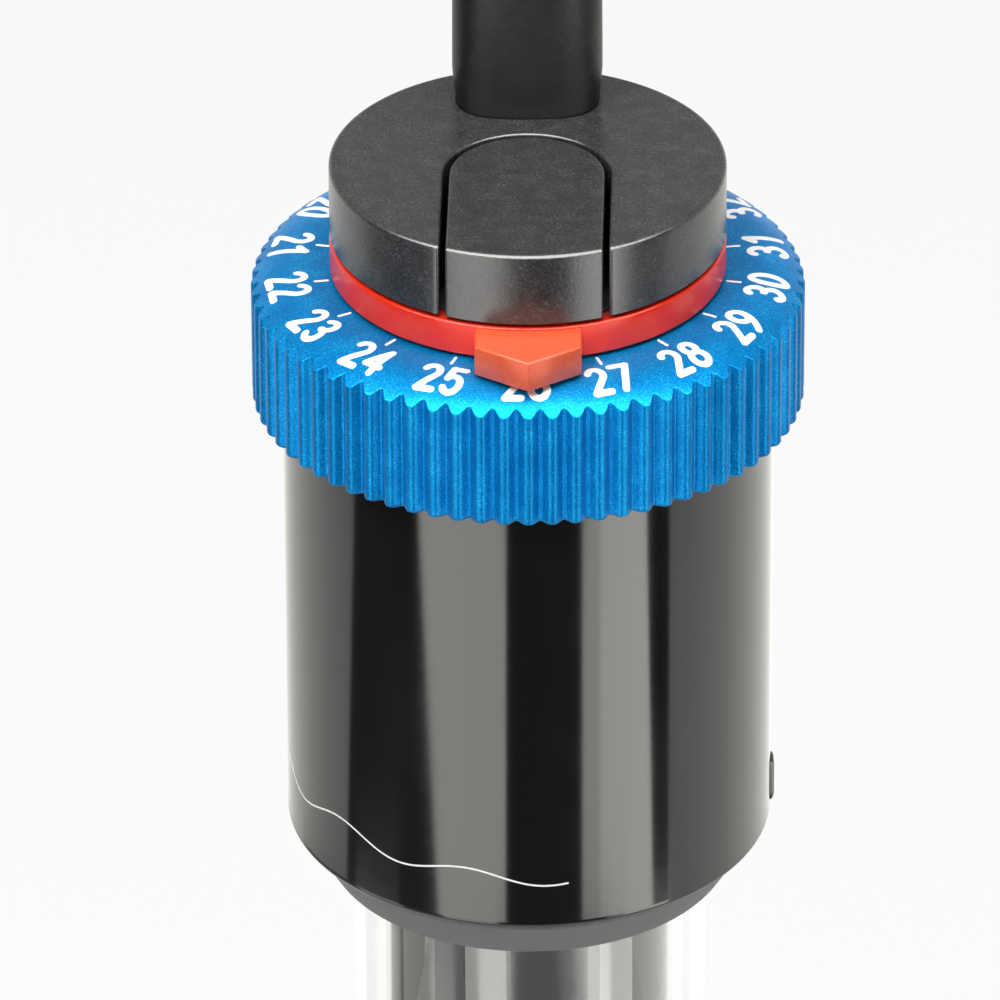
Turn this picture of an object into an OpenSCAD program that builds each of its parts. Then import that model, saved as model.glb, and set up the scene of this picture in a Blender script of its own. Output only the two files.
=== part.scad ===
// Submersible aquarium heater.
// A glass tube holds the thermostat and the heating element. The head on top carries a fluted
// temperature dial, whose internal gear turns the adjusting spindle of the thermostat.
// Z runs up the tube. The origin is on the axis, at the tube's closed end. -Y is the front.

/* [Glass tube] */
// Height from the closed end of the tube to the top of the cap
overall_h = 305; // [298:1:340]
// Outer diameter of the glass tube
tube_d = 26; // [25.8:0.1:27.2]
// Wall of the glass tube
tube_wall = 1.65; // [1.2:0.05:2]
// Radius of the bend between the tube's wall and its flat end
tube_end_r = 9; // [6:0.5:11]
// Depth of the ground seat on the glass, where the seal grips it
seat_cut = 0.25; // [0.2:0.05:0.5]

/* [Head] */
// Height of the black sleeve below the dial
sleeve_h = 34.9; // [30:0.1:42]
// Wall of the black sleeve
sleeve_wall = 2; // [1.5:0.1:3]
// Width of the lip at the sleeve's top, outside the core's step
lip_w = 1.2; // [0.8:0.1:2]
// Thickness of that lip
lip_t = 1.7; // [1.2:0.1:2.5]
// Height of the grey seal that shows under the sleeve
collar_h = 3.8; // [2.5:0.1:5]
// How far the seal stands out from the tube at its lower end
collar_w = 1.8; // [1:0.1:2.2]
// Height of the seal inside the sleeve
seal_h = 7; // [5:0.5:9]
// Height of the core's plug inside the sleeve
plug_h = 15; // [13:0.5:18]
// Width of the core's step, on which the dial rests
step_w = 1.1; // [0.8:0.1:1.6]
// Length of the rib on the sleeve's right side
rib_h = 3.4; // [2:0.1:6]
// Width of that rib
rib_w = 1.6; // [1:0.1:3]
// How far that rib stands out
rib_out = 0.3; // [0.2:0.05:0.6]

/* [Dial] */
// Height of the fluted side
dial_side_h = 8.8; // [7.5:0.1:11]
// Rise of the sloping scale, from its edge to the red ring
dial_rise = 1.35; // [0.6:0.05:2.5]
// Thickness of the dial's rim, outside its gear
rim_t = 5.125; // [4:0.125:6.5]
// Number of flutes round the dial
flutes = 72; // [60:1:80]
// Depth of a flute
flute_depth = 0.85; // [0.5:0.05:1.1]
// Radius of the cutter of a flute
flute_r = 0.62; // [0.5:0.01:0.66]

/* [Gears] */
// Module of the dial's internal gear and of the pinion
gear_m = 0.7; // [0.66:0.01:0.74]
// Teeth of the dial's internal gear
ring_teeth = 40; // [38:1:41]
// Teeth of the pinion
pinion_teeth = 20; // [19:1:21]
// Width of the pinion's teeth
gear_w = 3.6; // [3:0.1:4.5]
// Play between two meshing teeth, on each flank
backlash = 0.05; // [0.03:0.01:0.08]

/* [Red ring] */
// Height of the red ring
ring_h = 2.55; // [2:0.05:3.5]
// Width of the pointer
pointer_w = 7.6; // [5:0.1:10]
// How far the pointer's shoulders stand out from the ring
pointer_shoulder = 2.7; // [1.5:0.1:3.5]
// Length of the pointer's nose
pointer_nose = 2.45; // [1:0.05:2.5]

/* [Cap] */
// Height of the cap
cap_h = 5.6; // [5:0.1:8]
// How far the cap stands out from the neck
cap_over = 1.4; // [1.1:0.05:2]
// Thickness of the cap's top
cap_top_t = 2; // [1.5:0.1:2.5]
// Fillet along the cap's rim
cap_fillet = 0.4; // [0.2:0.05:0.8]
// Width of the arched tongue
tongue_w = 11.2; // [9:0.1:13]
// Groove round the tongue
groove_w = 0.44; // [0.3:0.02:0.7]
// Thickness of the tongue's top plate
tongue_t = 1.1; // [0.8:0.1:1.2]
// Land between the tongue and the strain relief
tongue_land = 2.25; // [1:0.05:3]

/* [Thermostat] */
// Gap between the glass and the dark inner sleeve
inner_gap = 1.05; // [0.7:0.05:1.3]
// Wall of the dark inner sleeve
inner_wall = 1; // [0.7:0.05:1.2]
// Length of the dark inner sleeve
inner_h = 81.3; // [75:0.1:90]
// Diameter of the adjusting spindle
spindle_d = 3; // [2.4:0.1:3.2]
// Thickness of the thermostat's frame
frame_t = 1.4; // [1:0.1:1.8]
// Width of the thermostat's frame
frame_w = 13; // [11:0.5:14]
// Length of the contact arm above its post
arm_h = 34; // [30:0.5:36]
// Open gap of the contacts
contact_gap = 0.8; // [0.6:0.05:1]

/* [Heating element] */
// Length of the ceramic former
former_h = 133; // [125:1:138]
// Radius over the former's ribs
former_r = 8.2; // [7.5:0.1:8.6]
// Number of the former's ribs
former_ribs = 6; // [5:1:8]
// Width of a rib
former_rib_w = 2.4; // [1.5:0.1:3]
// Turns of the heating winding
winding_turns = 24; // [18:1:24]
// Diameter of the heating winding's wire bundle
winding_d = 1.6; // [1.2:0.1:1.8]
// Thickness of a mica disc
mica_t = 0.8; // [0.5:0.1:1]

/* [Cord] */
// Width of the strain relief at its foot
relief_w = 10.9; // [9:0.1:12]
// Depth of the strain relief at its foot
relief_t = 7.6; // [6.5:0.1:8.2]
// Height of the strain relief above the cap
relief_h = 38; // [30:1:38]
// Diameter of the cord
cord_d = 6.2; // [5.8:0.1:6.2]

/* [Mains plug] */
// Width of the plug's body
plug_w = 35.3; // [30:0.1:35.3]
// Thickness of the plug's body
plug_t = 13.7; // [12:0.1:13.7]
// Length of the plug's body
plug_l = 36; // [32:0.5:38]
// Distance between the two pins
pin_pitch = 18.6; // [17:0.1:19]
// Diameter of a pin
pin_d = 4; // [3.6:0.1:4.2]
// Length of a pin
pin_l = 19; // [17:0.5:20]

/* [Hidden] */
$fn = 64;

// Clearances
run_fit = 0.08;      // radial play of a turning part on its neck or shaft
run_gap = 0.25;      // flat gap over or under a turning part
seat_gap = 0.05;     // radial play between two fixed parts
hole_play = 0.05;    // radial play of a screw, rod or wire in its hole
cut = 0.01;          // overshoot of a cutter past a face
tip_gap = 0.4;       // gap between the neck and the tips of the dial's teeth

// Gears: pitch, base and tip radii
press_angle = 20;
ring_pitch_r = gear_m * ring_teeth / 2;
pinion_pitch_r = gear_m * pinion_teeth / 2;
axle_y = -(ring_pitch_r - pinion_pitch_r);
ring_tip_r = ring_pitch_r - gear_m;
ring_root_r = ring_pitch_r + 1.25 * gear_m;
pinion_tip_r = pinion_pitch_r + gear_m;
pinion_root_r = pinion_pitch_r - 1.25 * gear_m;
flank_steps = 4;

// Radii of the head, from the gear outwards
neck_r = ring_tip_r - tip_gap;
bore_r = neck_r + run_fit;
cap_r = neck_r + cap_over;
dial_r = ring_root_r + rim_t;
step_r = ring_tip_r + step_w;
lip_gap = 0.2;
lip_r = step_r + lip_gap;
sleeve_ri = lip_r + lip_w;
sleeve_ro = sleeve_ri + sleeve_wall;
tube_r = tube_d / 2;
tube_ri = tube_r - tube_wall;
tube_seat_r = tube_r - seat_cut;
core_r = sleeve_ri - seat_gap;

// Heights of the head, from the cap downwards
z_cap = overall_h - cap_h;
z_ring_top = z_cap - run_gap;
z_ring = z_ring_top - ring_h;
z_scale = z_ring - run_gap;
z_edge = z_scale - dial_rise;
z_dial = z_edge - dial_side_h;
z_step = z_dial - run_gap;
z_sleeve_top = z_step - seat_gap;
z_lip = z_sleeve_top - lip_t;
z_sleeve = z_sleeve_top - sleeve_h;
z_collar = z_sleeve - collar_h;
z_core = z_sleeve_top - plug_h;
gasket_t = 1.3;
z_tube_top = z_core - gasket_t;
pocket_gap = 0.3;
pocket_rise = 0.95;
z_pocket = z_step + pocket_rise;
z_gear = z_pocket + pocket_gap;
z_split = z_gear + gear_w + pocket_gap;
web_gap = 0.5;
z_web = z_split + web_gap;
plate_floor = 3.4;
z_floor = z_split + plate_floor;
cavity_r = tube_ri;
core_roof = 2.7;
z_roof = z_lip - core_roof;

// Screws, spindle and wires through the head
axle_bore_r = spindle_d / 2 + run_fit;
screw_r = 1.25;
screw_head_r = 2.1;
screw_head_h = 1.5;
screw_inset = 4.6;
screw_x = neck_r - screw_inset;
screw_y = 2.2;
screw_l = 9;
wire_r = 0.9;
wire_x = 1.7;
wire_bore_r = wire_r + 2 * hole_play;
plate_wall = 2.2;
core_seal_r = 0.7;
core_seal_play = 0.02;
core_groove_r = sleeve_ri - 2 * (core_seal_r + core_seal_play);
core_groove_h = 2 * (core_seal_r + core_seal_play);
z_core_groove = z_core + 4.5;

// Strain relief and tongue, placed from the cap's rim forwards
relief_inset = 0.5;
relief_y = cap_r - relief_inset - relief_t / 2;
relief_pow = 2.6;
relief_pinch = 0.45;   // how far the relief is drawn in where it passes the cap
relief_play = 0.2;
flange_t = 1.2;
flange_w = 0.8;
slot_r = tongue_w / 2 + groove_w;
arch_y = relief_y - relief_t / 2 - tongue_land - slot_r;
ledge_w = 1.2;
cap_seat_w = 0.9;
cap_wall_ri = neck_r - cap_seat_w;
tongue_play = 0.1;
skirt_back_y = -sqrt(pow(cap_wall_ri, 2) - pow(slot_r, 2));

// Tube bung and the thermostat's housing
bung_h = 9.8;
bung_inset = 0.3;
z_bung = z_tube_top - bung_inset - bung_h;
inner_ro = tube_ri - inner_gap;
inner_ri = inner_ro - inner_wall;
z_inner = z_bung - inner_h;
wire_inset = 1.7;
wire_y = inner_ri - wire_inset;
z_wires_top = overall_h - cap_top_t - flange_t - seat_gap;

// Thermostat, built on a frame that hangs from the bung
frame_y = 2.2;
foot_rise = 6;
foot_t = 1.2;
foot_front = 3;
z_foot = z_inner + foot_rise;
z_post = z_foot + 12;
post_h = 6;
arm_t = 0.6;
arm_w = 4;
arm_y = -1.3;
contact_inset = 2;
z_contact = z_post + arm_h - contact_inset;
contact_r = 1.2;
rivet_t = 0.4;
bimetal_y = -3.1;
z_bimetal = z_post - 7.5;
bimetal_h = arm_h - 4;
bimetal_foot_h = 5.5;
z_slider = z_post + arm_h + post_h;
slider_h = 6;
slider_w = 5.2;
slider_d = 3.8;
slider_front = 1.45;   // less than the bore: the slider is open at the front, next to the sleeve
guide_gap = 0.3;
guide_w = 1.2;
guide_over = 2;
spindle_below = 6;
spindle_above = 3.2;
z_spindle = z_slider - spindle_below;
z_spindle_top = z_floor + spindle_above;
terminal_w = 2.4;
terminal_h = 6;
z_terminal = z_slider - 4;
terminal_hole_z = 2;

// Heating element, hung below the thermostat
lamp_bay = 19.2;
z_mica_top = z_inner - mica_t;
z_mica_mid = z_mica_top - lamp_bay;
lead_room = 1.2;
z_former_top = z_mica_mid - lead_room;
z_former = z_former_top - former_h;
z_mica_low = z_former - lead_room - mica_t;
rod_r = 1.4;
nut_r = 2.45;
nut_h = 2.2;
rod_end = 0.5;
former_core_r = 6.2;
former_band = 7;
winding_r = former_r + winding_d / 2;
winding_end = former_band + 4;
winding_h = former_h - 2 * winding_end;
z_winding = z_former + winding_end;
lead_x = 4;
lead_y = 1.3;
lead_r = 0.5;
lead_rise = 8;
lead_bore_r = lead_r + 2 * hole_play;
rod_bore_r = rod_r + hole_play;
lamp_x = 6.3;
lamp_y = -4.6;
lead_out_x = winding_r + lead_r;
lead_out_y = 2.8;
clip_l = 2.4;
clip_over = 1.2;
clip_lap = 2;
mica_r = tube_ri - 0.25;

// Cord: the coil lies on the floor behind the tube
cord_r = cord_d / 2;
coil_x = 0;
coil_y = 62;
coil_r_out = 40;
coil_step = 6.7;
turns_in = 2;
turns_turn = 0.5;
turns_out = 1.5;
coil_turns = turns_in + turns_turn + turns_out;
coil_r_in = coil_r_out - turns_in * coil_step;
coil_tuck = 1;
loop_rings = 24;

// Route of the cord from the strain relief to the coil, chosen by hand
lead_route = [
    [0, 10, 343], [0, 10, 352], [0, 10, 360], [0, 12.3, 371.5], [0, 18.8, 381.2],
    [0, 28.5, 387.7], [0, 40, 390], [0, 51.5, 387.7], [0, 61.2, 381.2], [0, 67.7, 371.5],
    [0, 70, 360], [0, 70.3, 342], [0, 70.7, 324], [0, 71.2, 306], [0, 72, 288],
    [-0.3, 73.4, 270], [-0.8, 75.2, 252], [-1.6, 77.5, 234], [-2.9, 80.2, 216],
    [-4.7, 83.2, 198], [-7.2, 86.4, 180], [-10.8, 89.6, 162], [-15.2, 92.6, 144],
    [-20, 95.4, 126], [-24.8, 97.9, 108], [-29.2, 99.9, 90], [-32.7, 101.2, 72],
    [-35.1, 101.9, 52], [-35.9, 102, 33], [-33.9, 102, 21.6], [-27.4, 102, 11.9],
    [-17.7, 102, 5.4], [-9, 102, 3.1], [-6.2, 102, 3.1]
];
// Route of the cord from the coil to the plug, which lies on the coil
tail_route = [
    [6.2, 98.65, 9.8], [7.2, 98.65, 9.8], [15, 96.3, 10.4], [26.5, 88.6, 12.3], [35, 76.6, 14.9],
    [38.3, 62, 17.5],
    [35.8, 47.2, 19.4], [27.8, 34.2, 20.1], [19.4, 28.5, 20.1], [9.5, 26.5, 20.1],
    [-0.4, 28.5, 20.1], [-8.9, 34.1, 20.1], [-14.5, 42.5, 20.1], [-16.5, 52.5, 20.1],
    [-16.5, 53.5, 20.1]
];
plug_x = -16.5;
plug_y = 53.5;
plug_z = 20.1;
plug_relief_l = 8;
plug_taper_l = 10;
plug_neck_r = cord_r + 2.3;
plug_shoulder = 2;     // how much wider the plug is than the end of its taper, on each side
pin_root = 5;
pin_tip = 1;
pin_sleeve_l = 10;
pin_sleeve_t = 0.25;
plug_front_l = plug_l - plug_relief_l - plug_taper_l;
tie_angle = 75;
tie_w = 4;
tie_t = 0.6;

// ---- Functions ----

// Turned angle in degrees that an involute needs to reach the pressure angle a
function involute(a) = tan(a) * 180 / PI - a;

// Half of a tooth's angle at radius r, for a tooth s thick on the pitch circle of radius p
function half_tooth(r, p, s) =
    s / (2 * p) * 180 / PI + involute(press_angle) - involute(acos(p * cos(press_angle) / r));

function polar(r, a) = [r * cos(a), r * sin(a)];

// Outline of a gear with involute flanks, with a tooth centred on -Y
function gear_outline(teeth, p, root, tip, s) =
    let (low = max(p * cos(press_angle) + cut, root))
    [for (i = [0 : teeth - 1])
        let (mid = -90 + i * 360 / teeth)
        each concat(
            [polar(root, mid - half_tooth(low, p, s))],
            [for (k = [0 : flank_steps])
                let (r = low + (tip - low) * k / flank_steps) polar(r, mid - half_tooth(r, p, s))],
            [for (k = [flank_steps : -1 : 0])
                let (r = low + (tip - low) * k / flank_steps) polar(r, mid + half_tooth(r, p, s))],
            [polar(root, mid + half_tooth(low, p, s))]
        )];

// Points of an arc about [x, y]
function arc(x, y, r, from, to, steps) =
    [for (i = [0 : steps]) let (a = from + (to - from) * i / steps) [x + r * cos(a), y + r * sin(a)]];

// Point of a superellipse with half axes a and b
function round_box(a, b, power, t) =
    [a * sign(cos(t)) * pow(abs(cos(t)), 2 / power), b * sign(sin(t)) * pow(abs(sin(t)), 2 / power)];

function unit(v) = v / norm(v);
function square_to(n, t) = unit(n - (n * t) * t);

// Tangents along a route, and normals that are carried along it without a twist
function tangents(p) =
    [for (i = [0 : len(p) - 1]) unit(p[min(i + 1, len(p) - 1)] - p[max(i - 1, 0)])];
function normals(t, first) =
    [for (i = 0, n = square_to(first, t[0]); i < len(t);
          i = i + 1, n = i < len(t) ? square_to(n, t[i]) : n) n];

// Least distance from each point to the points about one turn further on, less the diameter
function least_gap(p, per_turn, d) =
    min([for (i = [0 : len(p) - 1])
         for (j = [i + floor(per_turn / 2) : min(i + 3 * per_turn, len(p) - 1)])
         norm(p[i] - p[j])]) - d;

// Centre line of the cord's coil: in on the floor, up a layer in half a turn, and out again
function coil_radius(t) =
    t < turns_in ? coil_r_out - coil_step * t :
    t < turns_in + turns_turn ? coil_r_in - coil_tuck * sin(180 * (t - turns_in) / turns_turn) :
    coil_r_in + coil_step * (t - turns_in - turns_turn);
function coil_height(t) =
    cord_r + coil_step * (1 - cos(180 * min(max((t - turns_in) / turns_turn, 0), 1))) / 2;
coil_points = concat(
    [[coil_x - cord_d, coil_y + coil_r_out, cord_r]],
    [for (i = [0 : loop_rings * coil_turns])
        let (t = i / loop_rings, a = 90 - 360 * t)
        [coil_x + coil_radius(t) * cos(a), coil_y + coil_radius(t) * sin(a), coil_height(t)]],
    [[coil_x + cord_d, coil_y + coil_radius(coil_turns), coil_height(coil_turns)]]
);

// Centre line of the heating winding
winding_points = concat(
    [[winding_r, -winding_d, z_winding]],
    [for (i = [0 : loop_rings * winding_turns])
        let (a = 360 * i / loop_rings)
        [winding_r * cos(a), winding_r * sin(a), z_winding + winding_h * i / (loop_rings * winding_turns)]],
    [[winding_r, winding_d, z_winding + winding_h]]
);

// ---- Shared shapes ----

// Tube along a route, as one closed polyhedron of triangles
module swept(p, r, sides, first) {
    t = tangents(p);
    n = normals(t, first);
    rings = len(p);
    points = [for (i = [0 : rings - 1]) for (k = [0 : sides - 1])
        let (a = 360 * k / sides, b = cross(t[i], n[i])) p[i] + r * (n[i] * cos(a) + b * sin(a))];
    walls = [for (i = [0 : rings - 2]) for (k = [0 : sides - 1])
        let (a = i * sides + k, b = i * sides + (k + 1) % sides)
        each [[a, a + sides, b + sides], [a, b + sides, b]]];
    first_end = [for (k = [1 : sides - 2]) [0, k, k + 1]];
    last = (rings - 1) * sides;
    last_end = [for (k = [1 : sides - 2]) [last, last + k + 1, last + k]];
    polyhedron(points, concat(walls, first_end, last_end), convexity = 10);
}

// Loft through superellipse sections [z, a, b, power] about [x, y]
module loft(x, y, sections, sides) {
    rings = len(sections);
    points = [for (s = sections) for (k = [0 : sides - 1])
        let (q = round_box(s[1], s[2], s[3], 360 * k / sides)) [x + q[0], y + q[1], s[0]]];
    walls = [for (i = [0 : rings - 2]) for (k = [0 : sides - 1])
        let (a = i * sides + k, b = i * sides + (k + 1) % sides)
        each [[a, a + sides, b + sides], [a, b + sides, b]]];
    first_end = [for (k = [1 : sides - 2]) [0, k, k + 1]];
    last = (rings - 1) * sides;
    last_end = [for (k = [1 : sides - 2]) [last, last + k + 1, last + k]];
    polyhedron(points, concat(walls, first_end, last_end), convexity = 10);
}

module at_axle(z) {
    translate([0, axle_y, z]) children();
}

module rod_bore(z, h) {
    translate([0, 0, z - cut]) cylinder(r = rod_bore_r, h = h + 2 * cut);
}

module lead_bores(z, h) {
    for (y = [-lead_y, lead_y])
        translate([lead_x, y, z - cut]) cylinder(r = lead_bore_r, h = h + 2 * cut);
}

module wire_bores(z, h) {
    for (x = [-wire_x, wire_x])
        translate([x, wire_y, z]) cylinder(r = wire_bore_r, h = h);
}

// Wire through a list of points, with its corners cut back by b
module wire(points, r, b) {
    n = len(points) - 1;
    swept([for (i = [0 : n])
        each i == 0 || i == n ? [points[i]] :
            [points[i] + b * unit(points[i - 1] - points[i]),
             points[i] + b * unit(points[i + 1] - points[i])]], r, 8, [1, 0.3, 0.2]);
}

// Plan of the tongue: a round arch and straight sides that run out through the rim
module arch_plan(r) {
    translate([0, arch_y]) circle(r = r);
    translate([-r, -2 * cap_r]) square([2 * r, 2 * cap_r + arch_y]);
}

// The cap's outside: a disc with a filleted rim
module cap_body() {
    rotate_extrude()
        polygon(concat(
            [[0, z_cap], [cap_r, z_cap]],
            arc(cap_r - cap_fillet, overall_h - cap_fillet, cap_fillet, 0, 90, 4),
            [[0, overall_h]]));
}

// ---- Glass tube and seal ----

module glass_tube() {
    flat_r = tube_r - tube_end_r;
    color([0.82, 0.87, 0.88, 0.35])
    rotate_extrude()
        polygon(concat(
            [[0, 0]],
            arc(flat_r, tube_end_r, tube_end_r, -90, 0, 8),
            [[tube_r, z_collar], [tube_seat_r, z_collar], [tube_seat_r, z_tube_top], [tube_ri, z_tube_top]],
            arc(flat_r, tube_end_r, tube_end_r - tube_wall, 0, -90, 8),
            [[0, tube_wall]]));
}

module seal_collar() {
    lower_r = tube_r + collar_w;
    upper_r = sleeve_ri + sleeve_wall / 2;
    lead_in = 0.4;
    shoulder = 0.6;
    color("#77787a")
    rotate_extrude()
        polygon([
            [tube_seat_r + seat_gap, z_collar + lead_in], [tube_r + lead_in, z_collar], [lower_r, z_collar],
            [upper_r, z_sleeve - shoulder], [upper_r, z_sleeve], [sleeve_ri - seat_gap, z_sleeve],
            [sleeve_ri - seat_gap, z_sleeve + seal_h], [tube_seat_r + seat_gap, z_sleeve + seal_h]]);
}

module tube_gasket() {
    color("#2a2a2c")
    translate([0, 0, z_tube_top])
        difference() {
            cylinder(r = core_r, h = gasket_t);
            translate([0, 0, -cut]) cylinder(r = tube_ri, h = gasket_t + 2 * cut);
        }
}

module tube_bung() {
    color("#3a3632")
    difference() {
        translate([0, 0, z_bung]) cylinder(r = tube_ri - seat_gap, h = bung_h);
        at_axle(z_bung - cut) cylinder(r = axle_bore_r, h = bung_h + 2 * cut);
        wire_bores(z_bung - cut, bung_h + 2 * cut);
    }
}

// ---- Head ----

module sleeve() {
    edge = 0.4;
    rib_root = 1;
    rib_rise = 0.6;
    color("#0d0e10")
    union() {
        rotate_extrude()
            polygon(concat(
                [[sleeve_ri, z_sleeve]],
                arc(sleeve_ro - edge, z_sleeve + edge, edge, -90, 0, 4),
                arc(sleeve_ro - edge, z_sleeve_top - edge, edge, 0, 90, 4),
                [[lip_r, z_sleeve_top], [lip_r, z_lip], [sleeve_ri, z_lip]]));
        translate([sleeve_ro - rib_root, -rib_w / 2, z_sleeve + rib_rise])
            cube([rib_root + rib_out, rib_w, rib_h]);
    }
}

module head_core() {
    color("#1b1c1e")
    difference() {
        union() {
            translate([0, 0, z_core]) cylinder(r = core_r, h = z_lip - z_core);
            translate([0, 0, z_lip - cut]) cylinder(r = step_r, h = z_step - z_lip + cut);
            translate([0, 0, z_step - cut]) cylinder(r = neck_r, h = z_split - z_step + cut);
        }
        translate([0, 0, z_core - cut]) cylinder(r = cavity_r, h = z_roof - z_core + cut);
        rotate_extrude()
            translate([core_groove_r, z_core_groove - core_groove_h / 2])
                square([core_r - core_groove_r + 1, core_groove_h]);
        at_axle(z_pocket) cylinder(r = pinion_tip_r + tip_gap, h = z_split - z_pocket + cut);
        at_axle(z_roof - cut) cylinder(r = axle_bore_r, h = z_split - z_roof);
        wire_bores(z_roof - cut, z_split - z_roof + 2 * cut);
        for (x = [-screw_x, screw_x])
            translate([x, screw_y, z_floor - screw_l])
                cylinder(r = screw_r, h = screw_l);
    }
}

module core_seal() {
    color("#303134")
    rotate_extrude()
        translate([core_groove_r + core_seal_play + core_seal_r, z_core_groove]) circle(r = core_seal_r);
}

module bearing_plate() {
    color("#232426")
    difference() {
        translate([0, 0, z_split]) cylinder(r = neck_r, h = z_cap - z_split);
        translate([0, 0, z_floor]) cylinder(r = neck_r - plate_wall, h = z_cap - z_floor + cut);
        at_axle(z_split - cut) cylinder(r = axle_bore_r, h = plate_floor + 2 * cut);
        wire_bores(z_split - cut, plate_floor + 2 * cut);
        for (x = [-screw_x, screw_x])
            translate([x, screw_y, z_split - cut])
                cylinder(r = screw_r, h = plate_floor + 2 * cut);
    }
}

module plate_screws() {
    slot_w = 0.6;
    slot_t = 0.6;
    color("#b9bcc0")
    for (x = [-screw_x, screw_x])
        translate([x, screw_y, 0])
            difference() {
                union() {
                    translate([0, 0, z_floor - screw_l]) cylinder(r = screw_r, h = screw_l);
                    translate([0, 0, z_floor]) cylinder(r = screw_head_r, h = screw_head_h);
                }
                translate([-slot_w / 2, -screw_head_r, z_floor + screw_head_h - slot_t])
                    cube([slot_w, 2 * screw_head_r, slot_t + cut]);
            }
}

module cap() {
    roof_z = overall_h - cap_top_t;
    slot_floor = overall_h - tongue_t - tongue_play;
    hole_a = relief_w / 2 - relief_pinch + relief_play;
    hole_b = relief_t / 2 - relief_pinch + relief_play;
    color("#2b2b2d")
    difference() {
        cap_body();
        translate([0, 0, z_cap - cut]) cylinder(r = cap_wall_ri, h = roof_z - z_cap + cut);
        translate([0, 0, slot_floor]) linear_extrude(cap_top_t) arch_plan(slot_r);
        translate([0, 0, z_cap - cut]) linear_extrude(cap_h) arch_plan(slot_r - ledge_w);
        translate([-slot_r, -cap_r - cut, z_cap - cut])
            cube([2 * slot_r, cap_r + cut + skirt_back_y + ledge_w, cap_h]);
        translate([0, relief_y, z_cap])
            linear_extrude(cap_h + 1)
                polygon([for (t = [0 : 10 : 350]) round_box(hole_a, hole_b, relief_pow, t)]);
    }
}

module cap_tongue() {
    color("#303032")
    intersection() {
        cap_body();
        union() {
            translate([0, 0, overall_h - tongue_t])
                linear_extrude(tongue_t) arch_plan(tongue_w / 2);
            translate([0, 0, z_cap])
                linear_extrude(cap_h)
                    difference() {
                        arch_plan(tongue_w / 2);
                        circle(r = cap_wall_ri);
                        translate([-cap_r, 0]) square([2 * cap_r, cap_r]);
                    }
        }
    }
}

// ---- Dial and red ring ----

module dial() {
    edge = 0.3;
    edge_rise = 0.05;
    color("#0a5fc0")
    difference() {
        rotate_extrude($fn = 144)
            polygon([
                [bore_r, z_dial], [dial_r - edge, z_dial], [dial_r, z_dial + edge],
                [dial_r, z_edge - edge / 2], [dial_r - edge, z_edge + edge_rise],
                [cap_r, z_scale], [bore_r, z_scale]]);
        translate([0, 0, z_dial - cut])
            cylinder(r = ring_tip_r, h = z_web - z_dial + cut);
        translate([0, 0, z_dial - cut])
            linear_extrude(z_web - z_dial + cut)
                polygon(gear_outline(ring_teeth, ring_pitch_r, ring_tip_r - tip_gap, ring_root_r,
                                     PI * gear_m / 2 + backlash));
        for (i = [0 : flutes - 1])
            rotate([0, 0, (i + 0.5) * 360 / flutes - 90])
                translate([dial_r - flute_depth + flute_r, 0, z_dial - cut])
                    cylinder(r = flute_r, h = dial_side_h + dial_rise, $fn = 24);
    }
}

module pointer_ring() {
    chamfer = 0.2;
    half_w = pointer_w / 2;
    root_y = -(bore_r + cap_r) / 2;
    shoulder_y = -(sqrt(pow(cap_r, 2) - pow(half_w, 2)) + pointer_shoulder);
    color("#e5231d")
    union() {
        rotate_extrude()
            polygon([
                [bore_r, z_ring], [cap_r, z_ring], [cap_r, z_ring_top - chamfer],
                [cap_r - chamfer, z_ring_top], [bore_r, z_ring_top]]);
        translate([0, 0, z_ring])
            linear_extrude(ring_h - chamfer)
                polygon([
                    [-half_w, root_y], [-half_w, shoulder_y], [0, shoulder_y - pointer_nose],
                    [half_w, shoulder_y], [half_w, root_y]]);
    }
}

// ---- Adjusting gear train ----

module pinion() {
    color("#d9d4c4")
    at_axle(z_gear)
        difference() {
            linear_extrude(gear_w)
                polygon(gear_outline(pinion_teeth, pinion_pitch_r, pinion_root_r, pinion_tip_r,
                                     PI * gear_m / 2 - backlash));
            translate([0, 0, -cut]) cylinder(r = spindle_d / 2, h = gear_w + 2 * cut);
        }
}

module adjust_spindle() {
    slot_w = 0.7;
    slot_t = 1;
    collar = spindle_d / 2 + 0.9;
    color("#c9a24a")
    at_axle(0)
        difference() {
            union() {
                translate([0, 0, z_spindle]) cylinder(d = spindle_d, h = z_spindle_top - z_spindle);
                translate([0, 0, z_floor + run_gap])
                    cylinder(r = collar, h = z_spindle_top - z_floor - run_gap);
            }
            translate([-slot_w / 2, -collar - cut, z_spindle_top - slot_t])
                cube([slot_w, 2 * (collar + cut), slot_t + cut]);
        }
}

module spindle_seal() {
    seal_r = 0.9;
    color("#303134")
    at_axle(z_roof - seal_r)
        rotate_extrude()
            translate([spindle_d / 2 + run_fit + seal_r, 0]) circle(r = seal_r);
}

module adjust_slider() {
    finger_w = 2;
    finger_l = 1.6;
    finger_t = 2;
    color("#e6e0d0")
    translate([0, axle_y, z_slider])
        difference() {
            union() {
                translate([-slider_w / 2, -slider_front, 0]) cube([slider_w, slider_d, slider_h]);
                translate([-finger_w / 2, slider_d - slider_front - cut, 0])
                    cube([finger_w, finger_l, finger_t]);
            }
            translate([0, 0, -cut]) cylinder(r = axle_bore_r, h = slider_h + 2 * cut);
        }
}

// ---- Thermostat ----

module inner_sleeve() {
    color("#26262a")
    difference() {
        translate([0, 0, z_inner]) cylinder(r = inner_ro, h = inner_h);
        translate([0, 0, z_inner - cut]) cylinder(r = inner_ri, h = inner_h + 2 * cut);
    }
}

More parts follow.
